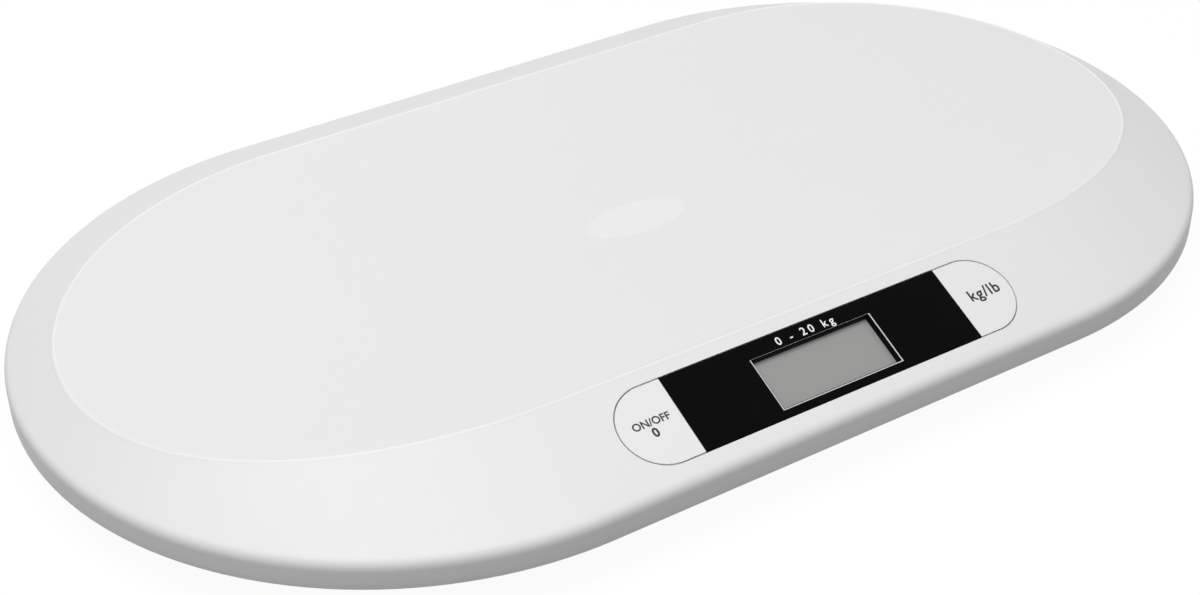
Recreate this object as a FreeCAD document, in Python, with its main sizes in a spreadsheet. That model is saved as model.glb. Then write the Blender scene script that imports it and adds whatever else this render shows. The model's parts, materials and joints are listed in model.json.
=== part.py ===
import FreeCAD
import Part
import Sketcher
import math
import os
import re

# Digital baby weighing scale.  Millimetres; +X along the casing, +Y to the rear, +Z up.
# The origin is on the floor under the middle of the casing.
# Every driving dimension is a cell of the sheet "Sizes"; expressions below use the cells' aliases.

SIZES = [
    # casing outline and height
    ("casing_length", 550.0, "casing, end to end over the rim"),
    ("casing_width", 322.0, "casing, front to rear over the rim"),
    ("rim_bottom", 20.0, "lower edge of the rim above the floor"),
    ("rim_height", 9.55, "rim wall, lower edge to the start of the border"),
    ("rim_round", 6.0, "rounding between rim wall and border"),
    ("wall", 2.5, "platform wall"),
    ("brow_rise", 24.0, "height that the border would climb if the tray were not cut"),
    ("border_run_side", 54.9, "horizontal run of the border over that height, long sides"),
    ("border_run_end", 36.3, "horizontal run of the border over that height, ends"),
    # tray: crest heights follow floor + end * (x / half length)^2 + side * (y / half width)^2
    ("crest_floor", 19.3, "crest surface above the rim's lower edge, at the middle"),
    ("crest_rise_side", 21.0, "rise of the crest surface out to half the width"),
    ("crest_rise_end", 4.65, "rise of the crest surface out to half the length"),
    ("tray_inset_side", 52.0, "rim to the tray's lip, long sides"),
    ("tray_inset_end", 25.5, "rim to the tray's lip, ends"),
    ("lip_drop", 1.0, "tray surface below the crest surface"),
    # ribs and screw bosses under the platform
    ("rib_thick", 1.6, "rib"),
    ("rib_pitch_long", 50.0, "spacing of the cross ribs along the length"),
    ("rib_pitch_cross", 45.0, "spacing of the long ribs across the width"),
    ("rib_inset_end", 43.0, "rim to the ends of the long ribs"),
    ("rib_inset_side", 53.0, "rim to the ends of the cross ribs"),
    ("rib_floor", 30.0, "lower edge of the ribs above the floor"),
    ("boss_radius", 4.0, "screw boss"),
    ("pilot_depth", 12.0, "pilot hole in a boss"),
    ("inner_screw_x", 85.0, "case screws beside the middle"),
    ("outer_screw_y", 38.0, "case screws at the ends"),
    ("screw_inset", 57.0, "rim to the case screws"),
    # base pan
    ("fit", 0.3, "gap between the pan's flange and the rim"),
    ("pan_inset", 30.0, "rim to the edge of the pan's flat bottom"),
    ("pan_bottom", 8.0, "underside of the pan above the floor"),
    ("base_wall", 2.4, "pan wall"),
    ("flange_height", 3.0, "upright flange inside the rim"),
    ("tower_radius", 5.5, "tower around a case screw"),
    ("tower_height", 6.0, "tower around a case screw"),
    ("sink_radius", 3.4, "sunk hole for a case screw's head"),
    ("sink_depth", 3.0, "sunk hole for a case screw's head"),
    # fasteners
    ("screw_radius", 1.5, "case screw shank"),
    ("screw_head_radius", 2.8, "case screw head"),
    ("screw_head_height", 1.8, "case screw head"),
    ("screw_length", 13.0, "case screw under the head"),
    ("screw_play", 0.02, "radial gap around a screw in its pilot hole"),
    ("screw_clear", 0.25, "radial gap around a screw in a through hole"),
    ("small_screw_radius", 1.1, "small screw shank"),
    ("small_head_radius", 2.0, "small screw head"),
    ("small_head_height", 1.3, "small screw head"),
    ("small_screw_length", 6.5, "small screw under the head"),
    ("cross_width", 0.8, "cross slot in a screw head"),
    ("cross_depth", 0.7, "cross slot in a screw head"),
    # control panel, measured on the slope
    ("panel_inset", 24.8, "rim to the middle of the panel, measured flat"),
    ("panel_width", 36.1, "band and keys across the slope"),
    ("panel_gap", 0.3, "gap around the band and the keys"),
    ("bezel_length", 134.8, "black band"),
    ("key_straight", 9.9, "straight part of a key before its round end"),
    ("key_joint", 0.15, "gap between a key and the band"),
    ("recess_depth", 3.0, "depth of the panel recess"),
    ("recess_floor", 1.8, "thickness of the recess floor"),
    ("panel_wall", 2.5, "wall around the panel recess"),
    ("window_length", 57.9, "window in the band"),
    ("window_width", 24.3, "window in the band"),
    ("window_shift", -1.8, "window's middle up the slope from the band's middle"),
    ("window_edge", 0.5, "bevel of the window's edge"),
    # display
    ("lcd_length", 64.0, "display glass"),
    ("lcd_width", 27.4, "front glass"),
    ("lcd_ledge", 2.6, "contact ledge of the rear glass beyond the front glass"),
    ("lcd_play", 0.4, "gap around the display glass"),
    ("glass_thick", 1.1, "each glass"),
    ("holder_rim", 2.4, "width of the display holder's frame"),
    ("strip_width", 2.0, "contact strip"),
    # circuit board
    ("board_length", 176.0, "circuit board"),
    ("board_width", 33.0, "circuit board"),
    ("board_thick", 1.6, "circuit board"),
    ("board_depth", 9.0, "board's upper face below the panel"),
    ("board_post_radius", 3.0, "post that carries the board"),
    ("board_post_u", 56.0, "board posts along the panel"),
    ("board_post_v", 11.0, "board posts up the slope"),
    ("blob_radius", 6.5, "sealed processor"),
    ("blob_height", 1.5, "sealed processor"),
    ("capacitor_radius", 2.5, "capacitor can"),
    ("capacitor_height", 5.0, "capacitor can"),
    ("capacitor_u", 22.0, "capacitors along the board"),
    # keys and switches
    ("key_thick", 1.6, "key plate"),
    ("key_travel", 0.5, "key travel"),
    ("key_centre", 81.0, "key post from the panel's middle"),
    ("post_radius", 2.5, "key post"),
    ("post_play", 0.5, "radial gap around a key post"),
    ("hook_v", 11.0, "key hooks up and down the slope"),
    ("hook_length", 4.0, "key hook along the panel"),
    ("hook_thick", 1.2, "key hook leg"),
    ("hook_barb", 0.9, "overhang of a key hook"),
    ("hook_play", 0.3, "gap around a key hook"),
    ("switch_side", 6.0, "push switch"),
    ("switch_height", 3.5, "push switch"),
    ("plunger_radius", 1.75, "push switch plunger"),
    ("plunger_height", 1.0, "plunger above its switch"),
    ("plunger_root", 1.2, "plunger inside its switch"),
    ("plunger_play", 0.06, "radial gap around a plunger"),
    # feet and load cells
    ("foot_inset_end", 107.0, "rim to a foot's middle, ends"),
    ("foot_inset_side", 83.0, "rim to a foot's middle, long sides"),
    ("pad_radius", 21.0, "rubber pad"),
    ("pad_height", 2.0, "rubber pad"),
    ("pad_groove", 1.0, "grip groove in the pad"),
    ("foot_radius", 23.0, "plastic foot"),
    ("foot_rise", 4.5, "plastic foot above its pad, up to its flange"),
    ("foot_flange", 1.4, "thickness of the foot's flange"),
    ("foot_flange_out", 1.4, "overhang of the foot's flange"),
    ("foot_play", 0.6, "gap between foot and holder"),
    ("foot_travel", 0.3, "foot travel at full load"),
    ("post_gap", 0.35, "foot post to the load cell's tongue"),
    ("foot_post_radius", 5.0, "post in the middle of a foot"),
    ("holder_wall", 2.4, "holder's ring wall"),
    ("holder_roof", 1.6, "holder's roof, which the load cell lies on"),
    ("holder_lip", 1.6, "holder's lip, which keeps the foot in"),
    ("holder_hole", 9.0, "hole in the holder's roof for the foot's post"),
    ("ear_reach", 6.0, "holder's flange outside its ring"),
    ("ear_thick", 1.8, "holder's flange"),
    ("cup_play", 0.4, "gap between the holder's ring and the cup"),
    ("cup_wall", 2.2, "wall of a foot's cup in the pan"),
    ("cup_roof", 2.0, "roof of a foot's cup in the pan"),
    ("seat_height", 2.6, "bars in the cup that bear on the load cell"),
    ("seat_width", 3.6, "bars in the cup that bear on the load cell"),
    ("cell_side", 34.0, "load cell plate"),
    ("cell_thick", 2.5, "load cell plate"),
    ("cell_slot", 1.6, "slot around the load cell's tongue"),
    ("tongue_width", 12.0, "load cell's tongue"),
    ("tongue_length", 24.0, "load cell's tongue"),
    # battery well
    ("battery_radius", 5.25, "AAA cell"),
    ("battery_body", 42.9, "AAA cell without its nub"),
    ("battery_nub_radius", 1.9, "AAA cell's nub"),
    ("battery_nub", 1.2, "AAA cell's nub"),
    ("battery_pitch", 11.4, "spacing of the cells"),
    ("well_play", 0.4, "gap around the cells"),
    ("well_wall", 2.0, "wall of the well"),
    ("contact_room", 4.0, "room for the contacts at each end of the well"),
    ("contact_thick", 0.5, "contact strip"),
    ("contact_width", 8.0, "contact strip"),
    ("cover_length", 70.0, "battery cover"),
    ("cover_width", 52.0, "battery cover"),
    ("cover_thick", 2.0, "battery cover"),
    ("cover_play", 0.2, "gap around the battery cover"),
    ("cover_stroke", 5.0, "travel that frees the battery cover"),
    ("cover_hook_x", 24.0, "cover hooks along the length"),
    ("cover_hook_thick", 2.0, "cover hook leg along the length"),
    ("cover_hook_width", 2.0, "cover hook leg across"),
    ("cover_hook_toe", 3.0, "toe of a cover hook"),
    ("grip_width", 1.5, "finger groove in the cover"),
    ("grip_pitch", 3.0, "spacing of the finger grooves"),
    # leads
    ("lead_radius", 1.2, "bundle of leads"),
    ("lead_height", 12.2, "leads above the floor where they lie on the pan"),
    ("lead_hole", 1.7, "hole for a lead in a cup or well wall"),
    ("lead_pad_v", 10.0, "solder pads up the slope"),
    ("lead_start", 26.0, "straight start of a load cell's lead"),
    ("battery_lead_start", 20.0, "straight start of a battery lead"),
    ("lead_approach", 20.0, "straight rise of a lead to the board"),
    ("front_lead_pad", 46.0, "pads of the front cells' leads along the panel"),
    ("rear_lead_pad", 34.0, "pads of the rear cells' leads along the panel"),
    ("battery_lead_pad", 14.0, "pads of the battery leads along the panel"),
]

NAMES = {name for name, value, note in SIZES}
WORD = re.compile(r"[a-z][a-z_]*")

doc = FreeCAD.newDocument("baby_scale")
sheet = doc.addObject("Spreadsheet::Sheet", "Sizes")
for row, (name, value, note) in enumerate(SIZES, start=1):
    sheet.set(f"A{row}", name)
    sheet.set(f"B{row}", str(value))
    sheet.set(f"C{row}", note)
    sheet.setAlias(f"B{row}", name)
doc.recompute()

# Sizes that follow from the driving ones, as expressions
HALF_LENGTH = "casing_length / 2"
HALF_WIDTH = "casing_width / 2"
FOOT_X = f"({HALF_LENGTH} - foot_inset_end)"
FOOT_Y = f"({HALF_WIDTH} - foot_inset_side)"
RIM_TOP = "(rim_bottom + rim_height)"
SLOPE = "atan(brow_rise / border_run_side)"
WALL_DROP = f"wall / cos({SLOPE})"
PAN_SLOPE = "(rim_bottom - pan_bottom) / (pan_inset - wall - fit)"
PANEL_Y = f"panel_inset - {HALF_WIDTH}"
PANEL_Z = f"{RIM_TOP} + panel_inset * brow_rise / border_run_side"
KEY_ROUND = "(bezel_length / 2 + key_straight)"
FLOOR_BOTTOM = "(recess_depth + recess_floor)"
BOARD_BACK = "(board_depth + board_thick)"
REAR_GLASS_BACK = "(recess_depth + 2 * glass_thick)"
SWITCH_TOP = "(board_depth - switch_height)"
PLUNGER_TOP = "(board_depth - switch_height - plunger_height)"
FLANGE_TOP = "(pad_height + foot_rise + foot_flange)"
HOLDER_ROOF = f"({FLANGE_TOP} + foot_play)"
CELL_BOTTOM = f"({HOLDER_ROOF} + holder_roof)"
CELL_TOP = f"({CELL_BOTTOM} + cell_thick)"
CUP_CEILING = f"({CELL_TOP} + seat_height)"
HOLDER_INNER = "(foot_radius + foot_flange_out + foot_play)"
HOLDER_OUTER = f"({HOLDER_INNER} + holder_wall)"
CUP_INNER = f"({HOLDER_OUTER} + cup_play)"
EAR_CIRCLE = f"({HOLDER_OUTER} + ear_reach / 2)"
EAR_BOTTOM = "(pan_bottom - ear_thick)"
PAN_FLOOR = "(pan_bottom + base_wall)"
TOWER_TOP = "(pan_bottom + tower_height)"
COVER_CEILING = "(pan_bottom + cover_thick + cover_play)"
DECK_TOP = f"({COVER_CEILING} + base_wall)"
BATTERY_AXIS = f"({COVER_CEILING} + well_play + battery_radius)"
WELL_CEILING = f"({BATTERY_AXIS} + battery_radius + well_play)"
WELL_HALF_LENGTH = "((battery_body + battery_nub) / 2 + contact_room)"
WELL_HALF_WIDTH = "(battery_pitch + battery_radius + well_play)"
COVER_HOOK_Y = "(cover_width / 2 - cover_hook_width)"

PANEL = FreeCAD.Placement(FreeCAD.Vector(), FreeCAD.Rotation(FreeCAD.Vector(1, 0, 0), 20))
LEFT_RIGHT = (("left", "-"), ("right", ""))
FRONT_REAR = (("front", "-"), ("rear", ""))
CORNERS = [(f"{ey}_{ex}", sx, sy) for ey, sy in FRONT_REAR for ex, sx in LEFT_RIGHT]

parts = []


def size(name):
    """The value of one cell."""
    return float(getattr(sheet, name))


def bind(item, prop, expression):
    """Drive one property of an object from the sheet."""
    def point_at_sheet(word):
        text = word.group()
        return "Sizes." + text if text in NAMES else text
    item.setExpression(prop, WORD.sub(point_at_sheet, expression))


def place(item, x="0", y="0", z="0"):
    """Drive an object's position from the sheet."""
    for axis, expression in zip("xyz", (x, y, z)):
        bind(item, f"Placement.Base.{axis}", expression)
    return item


def on_panel(item):
    """Lay an object that was drawn flat onto the sloping panel."""
    item.Placement = PANEL
    bind(item, "Placement.Rotation.Angle", SLOPE)
    return place(item, "0", PANEL_Y, PANEL_Z)


def part(item, node):
    """Name a finished sub-part."""
    item.Label = node
    parts.append(item)


def panel_part(node, *items):
    """Name a sub-part that is drawn flat and lies on the sloping panel."""
    part(on_panel(group(node, *items)), node)


# ---- primitives and booleans ------------------------------------------------------------------

def block(name, length, width, height, x="0", y="0", z="0"):
    """A box centred on x and y that stands on z."""
    item = doc.addObject("Part::Box", name)
    bind(item, "Length", length)
    bind(item, "Width", width)
    bind(item, "Height", height)
    return place(item, f"{x} - ({length}) / 2", f"{y} - ({width}) / 2", z)


def rod(name, radius, height, x="0", y="0", z="0"):
    """An upright cylinder that stands on z."""
    item = doc.addObject("Part::Cylinder", name)
    bind(item, "Radius", radius)
    bind(item, "Height", height)
    return place(item, x, y, z)


def lying_rod(name, radius, length, x="0", y="0", z="0"):
    """A cylinder along X that starts at x."""
    item = doc.addObject("Part::Cylinder", name)
    bind(item, "Radius", radius)
    bind(item, "Height", length)
    item.Placement = FreeCAD.Placement(FreeCAD.Vector(), FreeCAD.Rotation(FreeCAD.Vector(0, 1, 0), 90))
    return place(item, x, y, z)


def fuse(name, *items):
    item = doc.addObject("Part::MultiFuse", name)
    item.Shapes = list(items)
    item.Refine = False
    return item


def group(name, *items):
    """Separate solids that share one node."""
    item = doc.addObject("Part::Compound", name)
    item.Links = list(items)
    return item


def cut(name, base, *tools):
    item = doc.addObject("Part::Cut", name)
    item.Base = base
    item.Tool = tools[0] if len(tools) == 1 else fuse(name + "_tools", *tools)
    item.Refine = False
    return item


def common(name, first, second):
    item = doc.addObject("Part::Common", name)
    item.Base = first
    item.Tool = second
    item.Refine = False
    return item


# ---- sketches and bodies ----------------------------------------------------------------------

def new_body(name):
    return doc.addObject("PartDesign::Body", name)


def plane_of(body, role):
    return next(item for item in body.Origin.OriginFeatures if item.Role == role)


def new_sketch(body, name, role="XY_Plane", height="0"):
    """A sketch on one of the body's origin planes, lifted off it by height."""
    sketch = body.newObject("Sketcher::SketchObject", name)
    sketch.AttachmentSupport = [(plane_of(body, role), "")]
    sketch.MapMode = "FlatFace"
    bind(sketch, "AttachmentOffset.Base.z", height)
    return sketch


def dimension(sketch, kind, target, expression, start=1.0):
    """A driving dimension on the target points; start is its value before the sheet's is read."""
    index = sketch.addConstraint(Sketcher.Constraint(kind, *target, start))
    bind(sketch, f"Constraints[{index}]", expression)


def fix_point(sketch, line, end, x, y):
    """Pin a point of the sketch at x, y; "0" puts it on the axis."""
    for kind, value, axis in (("DistanceX", x, -2), ("DistanceY", y, -1)):
        if value == "0":
            sketch.addConstraint(Sketcher.Constraint("PointOnObject", line, end, axis))
        else:
            dimension(sketch, kind, (-1, 1, line, end), value)


def polygon(body, name, points, role="XY_Plane", height="0"):
    """A closed outline of straight lines through the points."""
    sketch = new_sketch(body, name, role, height)
    count = len(points)
    for index in range(count):
        start = FreeCAD.Vector(index, index * index, 0)
        end = FreeCAD.Vector(index + 1, (index + 1) ** 2, 0)
        sketch.addGeometry(Part.LineSegment(start, end), False)
    for index in range(count):
        sketch.addConstraint(Sketcher.Constraint("Coincident", index, 2, (index + 1) % count, 1))
    for index, (x, y) in enumerate(points):
        fix_point(sketch, index, 1, x, y)
    return sketch


def stadium(body, name, half_length, half_width, height="0"):
    """A closed outline of two straight sides and two half circles."""
    sketch = new_sketch(body, name, "XY_Plane", height)
    up = FreeCAD.Vector(0, 0, 1)
    reach, radius = 10.0, 8.0
    quarter = math.pi / 2
    right = Part.Circle(FreeCAD.Vector(reach, 0, 0), up, radius)
    left = Part.Circle(FreeCAD.Vector(-reach, 0, 0), up, radius)
    corners = [FreeCAD.Vector(x, y, 0) for x, y in
               ((-reach, -radius), (reach, -radius), (reach, radius), (-reach, radius))]
    sketch.addGeometry(Part.LineSegment(corners[0], corners[1]), False)
    sketch.addGeometry(Part.ArcOfCircle(right, -quarter, quarter), False)
    sketch.addGeometry(Part.LineSegment(corners[2], corners[3]), False)
    sketch.addGeometry(Part.ArcOfCircle(left, quarter, 3 * quarter), False)
    sketch.addConstraint([
        Sketcher.Constraint("Tangent", 0, 2, 1, 1),
        Sketcher.Constraint("Tangent", 1, 2, 2, 1),
        Sketcher.Constraint("Tangent", 2, 2, 3, 1),
        Sketcher.Constraint("Tangent", 3, 2, 0, 1),
        Sketcher.Constraint("Horizontal", 0),
        Sketcher.Constraint("PointOnObject", 1, 3, -1),
        Sketcher.Constraint("Symmetric", 1, 3, 3, 3, -2),
    ])
    dimension(sketch, "Radius", (1,), half_width, radius)
    dimension(sketch, "DistanceX", (-1, 1, 1, 3), f"({half_length}) - ({half_width})", reach)
    return sketch


def circle(body, name, radius, x="0", y="0", role="XY_Plane", height="0"):
    sketch = new_sketch(body, name, role, height)
    sketch.addGeometry(Part.Circle(FreeCAD.Vector(1, 1, 0), FreeCAD.Vector(0, 0, 1), 1), False)
    dimension(sketch, "Radius", (0,), radius)
    fix_point(sketch, 0, 3, x, y)
    return sketch


def pad(body, name, sketch, length, back=False):
    item = body.newObject("PartDesign::Pad", name)
    item.Profile = sketch
    item.Reversed = back
    bind(item, "Length", length)
    return item


def pocket(body, name, sketch, length, back=False):
    item = body.newObject("PartDesign::Pocket", name)
    item.Profile = sketch
    item.Reversed = back
    bind(item, "Length", length)
    return item


def loft(name, sections):
    """A body with ruled walls through stadium sections (half length, half width, height)."""
    body = new_body(name)
    sketches = [
        stadium(body, f"{name}_{index}", half_length, half_width, height)
        for index, (half_length, half_width, height) in enumerate(sections)
    ]
    item = body.newObject("PartDesign::AdditiveLoft", name + "_loft")
    item.Profile = sketches[0]
    item.Sections = sketches[1:]
    item.Ruled = True
    return body


def turned(name, points):
    """A body turned about Z from a profile of (radius, height) points."""
    body = new_body(name)
    sketch = polygon(body, name + "_profile", points, "XZ_Plane")
    item = body.newObject("PartDesign::Revolution", name + "_turn")
    item.Profile = sketch
    item.ReferenceAxis = (sketch, ["V_Axis"])
    item.Angle = 360
    return body


def around(body, feature, count, name):
    """Repeat a feature of the body around Z."""
    item = body.newObject("PartDesign::PolarPattern", name)
    item.Originals = [feature]
    item.Axis = (plane_of(body, "Z_Axis"), [""])
    item.Angle = 360
    item.Occurrences = count
    body.Tip = item
    return item


def copy_of(name, source, x, y, z="0", turn=0):
    """One more piece of the same shape somewhere else, turned about Z by turn degrees."""
    item = doc.addObject("Part::Compound", name)
    item.Links = [source]
    item.Placement = FreeCAD.Placement(FreeCAD.Vector(), FreeCAD.Rotation(FreeCAD.Vector(0, 0, 1), turn))
    return place(item, x, y, z)


# ---- platform shell ---------------------------------------------------------------------------

def above_crest(name, lowered):
    """Everything above the crest surface, lowered by the named sum of sizes."""
    spread = 1.2
    half_length = spread * size("casing_length") / 2
    half_width = spread * size("casing_width") / 2
    rise_end = spread ** 2 * size("crest_rise_end")
    rise_side = spread ** 2 * size("crest_rise_side")
    middle = size("rim_bottom") + size("crest_floor") - lowered
    patch = Part.BezierSurface()
    patch.increase(2, 2)
    for i, (x, bend_x) in enumerate(((-half_length, 1), (0, -1), (half_length, 1)), start=1):
        for j, (y, bend_y) in enumerate(((-half_width, 1), (0, -1), (half_width, 1)), start=1):
            z = middle + rise_end * bend_x + rise_side * bend_y
            patch.setPole(i, j, FreeCAD.Vector(x, y, z))
    item = doc.addObject("Part::Feature", name)
    item.Shape = patch.toShape().extrude(FreeCAD.Vector(0, 0, 3 * size("brow_rise")))
    return item


def case_screw_places():
    """The eight (x, y) places of the case screws."""
    for name, x, y in (("inner", "inner_screw_x", f"({HALF_WIDTH} - screw_inset)"),
                       ("outer", f"({HALF_LENGTH} - screw_inset)", "outer_screw_y")):
        for ex, sx in LEFT_RIGHT:
            for ey, sy in FRONT_REAR:
                yield f"{name}_{ey}_{ex}", sx + x, sy + y


def rib_grid():
    """The ribs under the platform, as boxes that reach above it."""
    ribs = []
    height = "3 * brow_rise"
    across = int((size("casing_length") / 2 - size("rib_inset_end")) // size("rib_pitch_long"))
    for step in range(-across, across + 1):
        ribs.append(block(f"cross_rib_{step + across}", "rib_thick", f"2 * ({HALF_WIDTH} - rib_inset_side)",
                          height, f"{step} * rib_pitch_long", "0", "rib_floor"))
    along = int((size("casing_width") / 2 - size("rib_inset_side")) // size("rib_pitch_cross"))
    for step in range(-along, along + 1):
        ribs.append(block(f"long_rib_{step + along}", f"2 * ({HALF_LENGTH} - rib_inset_end)", "rib_thick",
                          height, "0", f"{step} * rib_pitch_cross", "rib_floor"))
    return ribs


def panel_block():
    """The thick place in the border that holds the panel, with the posts of the board."""
    body = new_body("panel_block")
    outline = stadium(body, "panel_block_outline", f"{KEY_ROUND} + panel_width / 2 + panel_gap + panel_wall",
                      "panel_width / 2 + panel_gap + panel_wall", f"-{FLOOR_BOTTOM}")
    pad(body, "panel_block_pad", outline, f"{FLOOR_BOTTOM} + panel_wall")
    posts = [
        rod(f"board_post_{ey}_{ex}", "board_post_radius", "board_depth", sx + "board_post_u",
            sy + "board_post_v", "-board_depth")
        for ex, sx in LEFT_RIGHT for ey, sy in FRONT_REAR
    ]
    return [on_panel(body), on_panel(fuse("board_posts", *posts))]


def panel_recess():
    """What is cut from the border for the panel: recess, display opening, post and hook holes."""
    body = new_body("panel_recess")
    outline = stadium(body, "panel_recess_outline", f"{KEY_ROUND} + panel_width / 2 + panel_gap",
                      "panel_width / 2 + panel_gap", "-recess_depth")
    pad(body, "panel_recess_pad", outline, "recess_depth + panel_wall")
    reach = "recess_floor + 1"
    opening = block("display_opening", "lcd_length + 2 * lcd_play", "lcd_width + lcd_ledge + 2 * lcd_play",
                    reach, "0", "window_shift + lcd_ledge / 2", f"-{FLOOR_BOTTOM} - 0.5")
    holes = [body, opening]
    for ex, sx in LEFT_RIGHT:
        holes.append(rod(f"post_hole_{ex}", "post_radius + post_play", reach, sx + "key_centre", "0",
                         f"-{FLOOR_BOTTOM} - 0.5"))
        for ey, sy in FRONT_REAR:
            holes.append(block(f"hook_hole_{ey}_{ex}", "hook_length + 2 * hook_play",
                               "hook_thick + hook_barb + 2 * hook_play", reach, sx + KEY_ROUND,
                               f"{sy}(hook_v + hook_barb / 2)", f"-{FLOOR_BOTTOM} - 0.5"))
            holes.append(rod(f"board_pilot_{ey}_{ex}", "small_screw_radius + screw_play",
                             "small_screw_length - board_thick + 0.5", sx + "board_post_u",
                             sy + "board_post_v", "-board_depth - 0.5"))
    return on_panel(fuse("panel_holes", *holes))


def platform_shell():
    blank = new_body("platform_blank")
    rim = stadium(blank, "rim_outline", HALF_LENGTH, HALF_WIDTH, "rim_bottom")
    pad(blank, "rim_wall", rim, "rim_height")
    border = blank.newObject("PartDesign::AdditiveLoft", "border")
    border.Profile = stadium(blank, "border_foot", HALF_LENGTH, HALF_WIDTH, RIM_TOP)
    border.Sections = [stadium(blank, "border_brow", f"{HALF_LENGTH} - border_run_end",
                               f"{HALF_WIDTH} - border_run_side", f"{RIM_TOP} + brow_rise")]
    border.Ruled = True
    doc.recompute()
    rim_z = size("rim_bottom") + size("rim_height")
    rim_edges = [
        f"Edge{index}" for index, edge in enumerate(border.Shape.Edges, start=1)
        if abs(edge.BoundBox.ZMin - rim_z) < 0.01 and abs(edge.BoundBox.ZMax - rim_z) < 0.01
    ]
    rounding = blank.newObject("PartDesign::Fillet", "rim_rounding")
    rounding.Base = (border, rim_edges)
    bind(rounding, "Radius", "rim_round")
    blank.Tip = rounding

    crest_cut = cut("crest_cut", blank, above_crest("above_crest", 0.0))
    tray = new_body("tray_prism")
    outline = stadium(tray, "tray_outline", f"{HALF_LENGTH} - tray_inset_end",
                      f"{HALF_WIDTH} - tray_inset_side", "rim_bottom")
    pad(tray, "tray_pad", outline, "3 * brow_rise")
    tray_room = common("tray_room", tray, above_crest("above_tray", size("lip_drop")))
    tray_cut = cut("tray_cut", crest_cut, tray_room)

    void = loft("platform_void", [
        (f"{HALF_LENGTH} - wall", f"{HALF_WIDTH} - wall", "rim_bottom - 1"),
        (f"{HALF_LENGTH} - wall", f"{HALF_WIDTH} - wall",
         f"{RIM_TOP} + wall * brow_rise / border_run_side - {WALL_DROP}"),
        (f"{HALF_LENGTH} - border_run_end", f"{HALF_WIDTH} - border_run_side",
         f"{RIM_TOP} + brow_rise - {WALL_DROP}"),
    ])
    low_void = cut("low_void", void, above_crest("above_ceiling", size("lip_drop") + size("wall")))
    bosses = [rod(f"boss_{name}", "boss_radius", "3 * brow_rise", x, y, TOWER_TOP)
              for name, x, y in case_screw_places()]
    room = cut("platform_room", low_void, *rib_grid(), *bosses, *panel_block())
    pilots = [rod(f"pilot_{name}", "screw_radius + screw_play", "pilot_depth + 1", x, y, f"{TOWER_TOP} - 1")
              for name, x, y in case_screw_places()]
    hollow = cut("platform_hollow", tray_cut, room)
    part(cut("platform_shell", hollow, panel_recess(), *pilots), "platform_shell")


# ---- base pan ---------------------------------------------------------------------------------

def cover_hook_places():
    """The four places of the battery cover's hooks: front and rear, two along the length."""
    for ex, sx in LEFT_RIGHT:
        for ey, sy in FRONT_REAR:
            yield f"{ey}_{ex}", f"{sx}cover_hook_x", f"{sy}{COVER_HOOK_Y}"


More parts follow.
